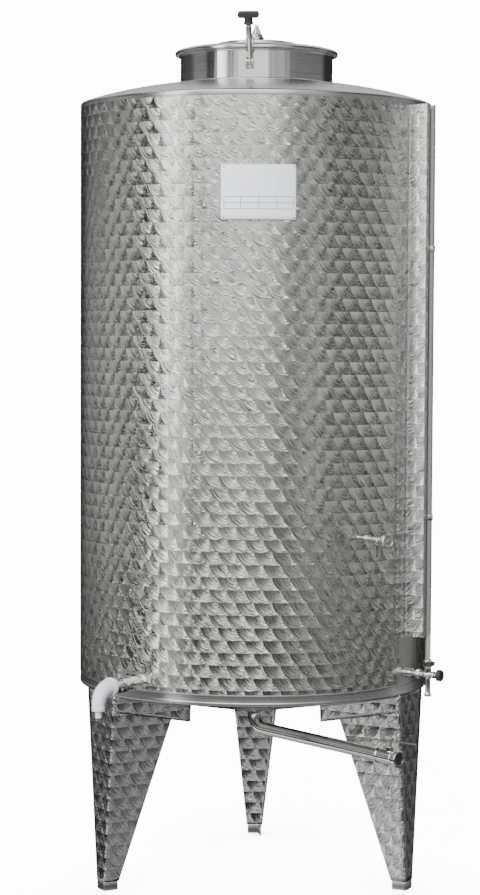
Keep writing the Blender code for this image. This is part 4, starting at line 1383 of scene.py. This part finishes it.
@dataclass(frozen=True)
class SampleTap:
    """Boss on the shell, small tap with its spout, and the round knob."""

    axis: Axis
    azimuth: float = 34.5
    height: float = 0.927
    shell: float = SEAT
    spout: float = 0.531

    def build(self, looks: Looks) -> None:
        """Make the boss, the tap and its knob."""
        place = self.axis.facing(self.azimuth, self.height)
        boss = lathe([
            (0.0075, self.shell), (0.0068, 0.4625, 0.001), (0.006, 0.464, 0.0006),
            (0.006, 0.483, 0.0006), (0.0075, 0.484, 0.0004), (0.0075, 0.489, 0.0004),
        ], 40).placed(ALONG)
        dress(boss.piece("tap_boss", place), looks.polished, "sample_tap_boss")
        self.tap(place, looks.polished)
        knob = lathe([(0.015, 0.5643, 0.0008), (0.018, 0.5665, 0.0014), (0.018, 0.574, 0.0018),
                      (0.016, 0.5783, 0.0014), (0.0135, 0.5783, 0.0006), (0.012, 0.5768, 0.0006),
                      (0.0045, 0.5768, 0.0004), (0.004, 0.5779, 0.0004)], 80).placed(ALONG)
        dress(knob.piece("tap_knob_disc", place), looks.satin, "sample_tap_knob", body=Body.SAMPLE_KNOB)

    def tap(self, place: Matrix, look: Look) -> None:
        """Body with a hexagon, a neck, a collar under the knob and the spout that hangs from it."""
        tap = lathe([
            (0.01, 0.4893, 0.0008), (0.0105, 0.4905, 0.0004), (0.0105, 0.5005, 0.0006),
            (0.0078, 0.5015, 0.0006), (0.0078, 0.519, 0.001), (0.009, 0.523, 0.002),
            (0.009, 0.539, 0.002), (0.007, 0.543, 0.0006), (0.008, 0.544, 0.0004),
            (0.008, 0.551, 0.0006), (0.0045, 0.5515, 0.0004), (0.0045, 0.564),
        ], 72, (6, 0.0093), 3).placed(ALONG)
        spout = lathe([(0.0036, -0.044, 0.0004), (0.004, -0.043, 0.0004), (0.004, -0.012, 0.001),
                       (0.0058, -0.009, 0.001), (0.0058, -0.004)], 32)
        dress(tap.add(spout, at(self.spout, 0.0)).piece("tap_body", place), look, "sample_tap_body")


@dataclass(frozen=True)
class PartialDrain:
    """Nipple, ball valve with its flat lever, and the white elbow that turns down."""

    axis: Axis
    azimuth: float = -37.5
    height: float = 0.5625
    shell: float = SEAT
    start: float = 0.4903
    end: float = 0.574
    stem: float = 0.543
    rise: float = 0.034
    lever: float = 0.065
    elbow: float = 0.6235
    bend: float = 0.038
    inlet: float = 0.021
    outlet: float = 0.016

    def build(self, looks: Looks) -> None:
        """Make the metal pieces and the elbow."""
        place = self.axis.facing(self.azimuth, self.height)
        nipple = lathe([(0.019, self.shell, 0.0006), (0.019, 0.463, 0.0012), (0.016, 0.4655, 0.001),
                        (0.014, 0.467, 0.0008), (0.014, 0.49)], 64).placed(ALONG)
        dress(nipple.piece("drain_stub", place), looks.polished, "drain_nipple")
        self.valve(place, looks.polished)
        self.handle(place, looks.satin)
        self.bent(place, looks.white)

    def valve(self, place: Matrix, look: Look) -> None:
        """Hexagon at the tank's end, ball housing, hexagon at the outlet, and the stem with its gland."""
        body = lathe([
            (0.018, self.start, 0.0008), (0.019, self.start + 0.0012, 0.0004), (0.019, 0.5045, 0.0008),
            (0.0165, 0.506, 0.001), (0.017, 0.523, 0.003), (0.0198, 0.531, 0.005), (0.02, 0.554, 0.005),
            (0.0172, 0.559, 0.0015), (0.0185, 0.561, 0.0008), (0.0185, self.end - 0.0012, 0.0004),
            (0.0175, self.end, 0.0006),
        ], 120, (6, 0.0176), 5).placed(ALONG)
        ball = lathe([(0.0165, 0.53, 0.002), (0.0199, 0.5345, 0.006), (0.0199, 0.5515, 0.006),
                      (0.0165, 0.556, 0.002)], 96, curve=6)
        body.add(ball, ALONG)
        body.add(gland(0.011, 0.021, self.rise - 0.004, 0.0096), at(self.stem, 0.0))
        dress(body.piece("drain_ball_valve", place), look, "drain_valve_body")

    def handle(self, place: Matrix, look: Look) -> None:
        """Flat lever with a rounded end, pressed edges and a nut on its stem."""
        pivot = at(self.stem, self.rise)
        outline = rounded([(-0.006, -0.008, 0.004), (0.006, -0.008, 0.004), (0.006, self.lever, 0.0045),
                           (-0.006, self.lever, 0.0045)], closed=True, steps=6)
        lever = slab(outline, 0.0, 0.0025).placed(pivot)
        nut = lathe([(0.0078, -0.0037, 0.0004), (0.0078, 0.0), (0.0066, 0.0), (0.0066, 0.006, 0.0006),
                     (0.005, 0.0066, 0.0006), (0.0034, 0.007), (0.0034, 0.009, 0.0006)], 60, LEVER_NUT)
        handle = lever.add(nut, pivot).piece("drain_handle", place)
        dress(handle, look, "drain_lever", body=Body.DRAIN_LEVER)

    def bent(self, place: Matrix, look: Look) -> None:
        """Ribbed collar, tapering quarter bend with shallow rings, lower collar and hose nozzle."""
        start = self.elbow - self.bend
        mouth = ((self.end + 0.0003, 0.0218), (self.end + 0.0012, 0.0235), (0.579, 0.0235), (0.58, 0.0226),
                 (0.581, 0.0226), (0.582, 0.0235), (0.5845, 0.0235), (0.585, 0.0213))
        nozzle = ((-0.0415, self.outlet), (-0.042, 0.0166), (-0.043, 0.0168), (-0.052, 0.0168),
                  (-0.053, 0.0163), (-0.0533, 0.0092), (-0.056, 0.0084), (-0.0695, 0.0082),
                  (-0.0705, 0.0074))
        t = np.linspace(0.0, math.pi / 2.0, 49)[1:]
        ribs = 0.0004 * np.sin(t * 22.0) ** 8
        taper = self.inlet - (self.inlet - self.outlet) * t / t[-1] + ribs
        curve = np.column_stack((start + self.bend * np.sin(t), self.bend * (np.cos(t) - 1.0), taper))
        run = np.concatenate(([(x, 0.0, radius) for x, radius in mouth], curve,
                              [(self.elbow, z, radius) for z, radius in nozzle]))
        dress(swept(run[:, :2], run[:, 2], 64).piece("white_elbow", place), look, "drain_elbow")


@dataclass(frozen=True)
class TotalDrain:
    """Pipe from the cone's outlet, turned to the front right, with its valve, plug and lever."""

    axis: Axis
    azimuth: float = 45.0
    slope: float = 2.0
    height: float = 0.387
    radius: float = 0.0166
    bend: float = 0.039
    pipe_end: float = 0.4445
    stem: float = 0.482
    end: float = 0.5173
    lever: float = 0.088
    rise: float = 0.039
    lift: float = 4.4

    def build(self, looks: Looks) -> None:
        """Make the pipe, the valve, the plug and the lever."""
        place = self.axis.facing(self.azimuth, self.height, self.slope)
        self.pipe(place, looks.polished)
        self.valve(place, looks.polished)
        plug = lathe([(0.0147, 0.5076, 0.0004), (0.0147, 0.5148, 0.0006), (0.012, 0.5153, 0.0004),
                      (0.011, 0.514, 0.0004)], 56).placed(ALONG)
        dress(plug.piece("drain_plug", place), looks.black, "total_drain_plug")
        self.handle(place, looks.satin)

    def pipe(self, place: Matrix, look: Look) -> None:
        """Straight drop, quarter bend and the long run outwards."""
        top = float(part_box("total_drain_pipe")[1][2]) - self.height
        t = np.linspace(0.0, math.pi / 2.0, 25)
        bend = np.column_stack((self.bend * (1.0 - np.cos(t)), self.bend * (1.0 - np.sin(t))))
        run = np.column_stack((np.linspace(self.bend + 0.01, self.pipe_end, 30), np.zeros(30)))
        path = np.concatenate((((0.0, top), (0.0, top - 0.0005)), bend, run))
        pipe = swept(path, np.full(len(path), self.radius), 56)
        dress(pipe.piece("drain_pipe", place), look, "total_drain_pipe")

    def valve(self, place: Matrix, look: Look) -> None:
        """Bright ring joint, plain body, flared end with a socket, and the stem with its gland."""
        start, end = self.pipe_end + 0.0003, self.end
        body = lathe([
            (0.0185, start, 0.001), (0.02, start + 0.002, 0.0014), (0.02, start + 0.0045, 0.0012),
            (0.0182, 0.452, 0.0008), (0.0176, 0.456, 0.001), (0.0185, 0.46, 0.001),
            (0.0185, 0.496, 0.001), (0.0176, 0.4985, 0.0008), (0.0196, 0.502, 0.001),
            (0.0198, 0.505, 0.0008), (0.0212, 0.5075, 0.001), (0.0215, end - 0.0016, 0.001),
            (0.0196, end, 0.001), (0.0156, end, 0.0006), (0.015, end - 0.002, 0.0006), (0.015, end - 0.01),
        ], 96).placed(ALONG)
        body.add(gland(0.0105, 0.0255, self.rise - 0.003, 0.0093), at(self.stem, 0.0))
        dress(body.piece("end_valve", place), look, "total_drain_valve")

    def handle(self, place: Matrix, look: Look) -> None:
        """Thin lever lifted a little, with two wings at its hub and a nut."""
        pivot = at(self.stem, self.rise)
        tip = pivot @ Matrix.Rotation(math.radians(-self.lift), 4, "Y")
        lever = slab(box((-0.009, self.lever), (-0.0045, 0.0045), 0.003, 5), 0.0, 0.0025).placed(tip)
        wing = [(0.004, 0.0), (0.0118, 0.011, 0.0012), (0.0085, 0.0128, 0.0012), (0.001, 0.003)]
        for side in (0.0, math.pi):
            upright = slab(rounded(wing, closed=True), -0.0055, 0.0055)
            lever.add(upright, pivot @ Matrix.Rotation(side, 4, "Z") @ ACROSS)
        nut = lathe([(0.006, -0.0027), (0.0078, 0.0002), (0.0072, 0.007, 0.0008), (0.004, 0.0082, 0.0006),
                     (0.0034, 0.012, 0.0006)], 60, LEVER_NUT)
        handle = lever.add(nut, pivot).piece("end_handle", place)
        dress(handle, look, "total_drain_lever", body=Body.TOTAL_LEVER)


@dataclass(frozen=True)
class Legs:
    """Three folded sheet legs, each with a strip under the cone and a thick shoe."""

    axis: Axis
    distance: float = 0.4495
    top_half: float = 0.0753
    foot_half: float = 0.0185
    rim: float = CONE_RIM
    strip_reach: float = 0.2225
    strip_drop: float = 0.0439
    wing_reach: float = 0.1668
    wing_foot: float = 0.0399
    seat: float = 0.0008
    foot: float = 0.0233
    fold: float = 0.006
    sheet: float = 0.002
    shoe: float = 0.023
    shoe_wall: float = 0.006
    face_parts: int = 9
    sides: tuple[tuple[str, float, float], ...] = (
        ("right", 63.5, -1.0), ("left", -60.2, 1.0), ("back", 179.5, -1.0))

    def build(self, looks: Looks) -> None:
        """Make each leg with its strip and its shoe."""
        for name, azimuth, side in self.sides:
            place = self.axis.facing(azimuth)
            self.leg(name, side, place, looks.folded)
            self.strip(name, side, place, looks.folded)
            self.boot(name, side, place, looks.ends)

    def half(self, height: Grid) -> Grid:
        """Half the width of the face, which tapers evenly towards the foot."""
        return self.foot_half + (self.top_half - self.foot_half) * height / self.rim

    def under_cone(self, inward: Grid) -> Grid:
        """Height just under the cone over a place this far in from the face."""
        return cone_height(np.hypot(self.distance - inward, self.top_half)) - self.seat

    def bent(self, run: Grid, half: Grid) -> tuple[Grid, Grid]:
        """Place of a run across the fold.

        The run counts from the fold's corner, negative on the face and positive on the wing. Within
        the fold's size r, with t from 0 to 1 through it, the sheet lies at r t^2 inwards and
        r (1 - t)^2 short of the corner.
        """
        fold = self.fold
        t = np.clip((run + fold) / (2.0 * fold), 0.0, 1.0)
        inward = np.where(run > fold, run, fold * t ** 2)
        across = half + np.where(run < -fold, run, -fold * (1.0 - t) ** 2)
        return inward, across

    def columns(self) -> Grid:
        """Runs through the fold and along the wing, with the corners of its outline among them."""
        stops = (-self.fold, self.fold, self.wing_foot, self.wing_reach, self.strip_reach)
        parts = [np.linspace(*ends, count) for *ends, count in zip(stops, stops[1:], (7, 6, 14, 6))]
        return np.concatenate([parts[0]] + [part[1:] for part in parts[1:]])

    def leg(self, name: str, side: float, place: Matrix, look: Look) -> None:
        """Tapered face, rounded fold and the wing with its cut-out."""
        wing, count = self.columns(), self.face_parts
        inward = np.maximum(np.concatenate((np.zeros(count), wing)), 0.0)
        high = self.under_cone(inward)
        high[:count] = high[count]
        notch = self.under_cone(np.array((self.wing_reach, self.strip_reach))) - self.strip_drop
        reaches = (0.0, self.wing_foot, self.wing_reach, self.strip_reach)
        low = np.interp(inward, reaches, (self.foot, self.foot, *notch))
        z = low + np.linspace(0.0, 1.0, 50)[:, None] * (high - low)
        half = self.half(z)
        wide = 2.0 * half[:, :count]
        face = np.linspace(0.0, 1.0, count + 1)[:-1] * (wide - self.fold) - wide
        run = np.concatenate((face, np.broadcast_to(wing, (len(z), len(wing)))), axis=1)
        depth, across = self.bent(run, half)
        points = gridded(self.distance - depth, side * across, z)
        leg = sheet(points, gridded(run + 0.35, z), self.sheet, "leg_sheet_" + name, place, -side)
        dress(leg, look, "leg_" + name)

    def strip(self, name: str, side: float, place: Matrix, look: Look) -> None:
        """Thin strip laid on the wing along the cone, from the fold to the wing's tongue."""
        run = np.linspace(self.fold + 0.002, self.strip_reach - 0.001, 30)
        high = self.under_cone(run) - 0.001
        z = high - np.linspace(1.0, 0.0, 6)[:, None] * (self.strip_drop - 0.0015)
        points = gridded(self.distance - run, side * (self.half(z) + 0.0012), z)
        dress(sheet(points, gridded(run + 0.8, z), 0.001, "leg_strip_" + name, place, -side), look)

    def boot(self, name: str, side: float, place: Matrix, look: Look) -> None:
        """Thick shoe folded round the leg's foot, with an eased upper edge."""
        skirt = (self.shoe_wall - self.sheet) / 2.0
        front, half = self.distance + skirt, self.half(0.0)
        corners = [(front, -half), (front, half + skirt, 0.005), (front - self.wing_foot, half + skirt)]
        outline = section(rounded(corners, steps=6), self.shoe_wall) * (1.0, side)
        boot = slab(outline[::int(side)], 0.0, self.shoe, 0.0012, 3)
        dress(boot.piece("shoe_" + name, place), look, "foot_" + name)


@dataclass(frozen=True)
class Panel:
    """A soft-edged patch of light in the surroundings, in degrees."""

    azimuth: float
    width: float
    edge: float
    low: float
    high: float
    fade: float
    strength: float

    def light(self, azimuth: Value, elevation: Value) -> Value:
        """Full strength inside the patch, falling off smoothly over its edges."""
        aside = abs((azimuth - self.azimuth + 180.0) % 360.0 - 180.0)
        across = aside.band(self.width / 2.0 + self.edge, self.width / 2.0)
        above = elevation.band(self.low - self.fade, self.low + self.fade)
        below = elevation.band(self.high + self.fade, self.high - self.fade)
        return across * above * below * self.strength


@dataclass(frozen=True)
class Studio:
    """Floor, lights and the photograph's camera."""

    axis: Axis
    # Camera: focal length and long side in pixels, sensor width in millimetres, how far it sees
    focal: float = 2306.9
    long_side: float = 895.0
    sensor: float = 36.0
    sight: float = 60.0
    # Its place in metres and its turns in radians
    place: tuple[float, float, float] = (-0.0072, -6.0904, 1.4615)
    yaw: float = -0.0052
    pitch: float = -0.0545
    roll: float = 0.0046
    # Brightness of the backdrop and of the floor
    backdrop: float = 14.0
    glow: float = 13.0
    floor_half: float = 14.0
    floor_low: float = -0.0005
    floor_tones: tuple[Colour, Colour] = ((0.9, 0.9, 0.9), (0.93, 0.93, 0.93))
    floor_roughness: float = 0.9
    # Shade under the feet: how far it reaches, its power, and the least share of the glow
    shade: tuple[float, float, float] = (0.45, 1.6, 0.2)
    # Brightness between the panels
    dim: float = 0.03
    lamp: tuple[float, float, float] = (-1.8, -3.6, 2.4)
    lamp_size: float = 2.4
    lamp_aim: tuple[float, float, float] = (0.0, 0.0, 1.2)
    lamp_power: float = 270.0
    panels: tuple[Panel, ...] = (
        Panel(-8.0, 40.0, 14.0, 1.0, 50.0, 9.0, 2.1),
        Panel(30.0, 26.0, 10.0, 1.0, 50.0, 9.0, 0.58),
        Panel(75.0, 80.0, 10.0, -5.5, 5.0, 2.5, 0.7),
        Panel(114.0, 24.0, 8.0, -18.0, -6.5, 4.0, 0.26),
        Panel(-54.0, 11.0, 3.0, -4.0, 70.0, 9.0, 5.0),
        Panel(-96.0, 24.0, 8.0, -6.0, 5.5, 2.5, 0.72),
        Panel(-128.0, 28.0, 8.0, -6.0, 4.0, 3.0, 0.42),
        Panel(-40.0, 220.0, 20.0, -66.0, -26.0, 4.0, 0.55),
        Panel(-90.0, 70.0, 14.0, -31.0, -26.0, 2.0, 2.6),
        Panel(180.0, 130.0, 20.0, 15.0, 60.0, 8.0, 0.9),
        Panel(-8.0, 60.0, 14.0, 20.0, 52.0, 8.0, 0.85),
        Panel(0.0, 360.0, 0.0, 28.0, 52.0, 8.0, 0.2),
        Panel(0.0, 200.0, 20.0, 42.0, 58.0, 8.0, 1.2),
        Panel(0.0, 360.0, 0.0, 52.0, 96.0, 8.0, 1.4),
    )

    def build(self) -> None:
        """Set the whole scene round the tank."""
        self.camera()
        self.floor()
        self.lights()
        self.fill()

    def camera(self) -> None:
        """Camera of the photograph, turned by its yaw, pitch and roll."""
        lens = bpy.data.cameras.new("photo_camera")
        lens.sensor_width = self.sensor
        lens.lens = self.focal / self.long_side * self.sensor
        lens.clip_end = self.sight
        camera = bpy.data.objects.new("photo_camera", lens)
        forward = Vector((math.sin(self.yaw) * math.cos(self.pitch),
                          math.cos(self.yaw) * math.cos(self.pitch), math.sin(self.pitch)))
        right = Vector((math.cos(self.yaw), -math.sin(self.yaw), 0.0))
        up = right.cross(forward)
        side = right * math.cos(self.roll) + up * math.sin(self.roll)
        top = up * math.cos(self.roll) - right * math.sin(self.roll)
        turn = Matrix((side, top, -forward)).transposed().to_4x4()
        spot = Vector(self.place) + Vector((self.axis.x, self.axis.y, 0.0))
        camera.matrix_world = Matrix.Translation(spot) @ turn
        bpy.context.scene.collection.objects.link(camera)
        bpy.context.scene.camera = camera

    def floor(self) -> None:
        """Wide pale floor that only the camera sees. The steel mirrors the surroundings under it."""
        ends = np.array((-self.floor_half, self.floor_half))
        points = gridded(ends, ends[:, None], 0.0)
        floor = Shape().grid(points).piece("floor", at(0.0, self.floor_low), closed=False)
        paint = Paint("pale_floor")
        cloud = paint.noise(paint.place(), 1.5)
        reach, power, least = self.shade
        near = paint.node("ShaderNodeAmbientOcclusion", {"samples": 8}, {"Distance": reach}).outputs["AO"]
        lit = Value(paint.tree, near) ** power
        floor.data.materials.append(paint.finish(
            Base_Color=paint.mix(cloud, *self.floor_tones),
            Roughness=self.floor_roughness,
            Emission_Color=(1.0, 1.0, 1.0),
            Emission_Strength=lit * (self.glow * (1.0 - least)) + self.glow * least,
        ))
        floor.visible_glossy = False
        floor.visible_diffuse = False

    def lights(self) -> None:
        """Soft panels all round the tank, as one map of brightness by direction."""
        world = bpy.data.worlds.new("studio")
        world.use_nodes = True
        nodes = Nodes(world.node_tree)
        x, y, z = nodes.split(nodes.node("ShaderNodeTexCoord", {}, {}).outputs["Generated"])
        azimuth = x.angle(0.0 - y) * (180.0 / math.pi)
        elevation = z.math("ARCSINE", z) * (180.0 / math.pi)
        light = 0.0 * azimuth + self.dim
        for panel in self.panels:
            light = light + panel.light(azimuth, elevation)
        path = Value(nodes.tree, nodes.node("ShaderNodeLightPath", {}, {}).outputs["Is Camera Ray"])
        strength = path.pick(self.backdrop, light)
        background = nodes.node("ShaderNodeBackground", {}, {"Color": (1.0, 1.0, 1.0), "Strength": strength})
        output = nodes.node("ShaderNodeOutputWorld", {}, {})
        nodes.tree.links.new(background.outputs[0], output.inputs[0])
        bpy.context.scene.world = world

    def fill(self) -> None:
        """Soft lamp for plastic and rubber, which the steel doesn't mirror."""
        light = bpy.data.lights.new("fill_lamp", "AREA")
        light.size = self.lamp_size
        light.energy = self.lamp_power
        lamp = bpy.data.objects.new("fill_lamp", light)
        aim = Vector(self.lamp_aim) - Vector(self.lamp)
        turn = aim.to_track_quat("-Z", "Y").to_matrix().to_4x4()
        lamp.matrix_world = Matrix.Translation(Vector(self.lamp)) @ turn
        lamp.visible_glossy = False
        lamp.visible_camera = False
        bpy.context.scene.collection.objects.link(lamp)


def main() -> None:
    """Build every piece in order and the studio round them."""
    logging.basicConfig(level=logging.INFO, format="%(name)s %(message)s")
    axis = Axis.found()
    looks = Looks(axis)
    for assembly in (Vessel, Manhole, Clamp, NamePlate, Gauge, SampleTap, PartialDrain, TotalDrain, Legs):
        assembly(axis).build(looks)
    Studio(axis).build()


if __name__ == "__main__":
    main()
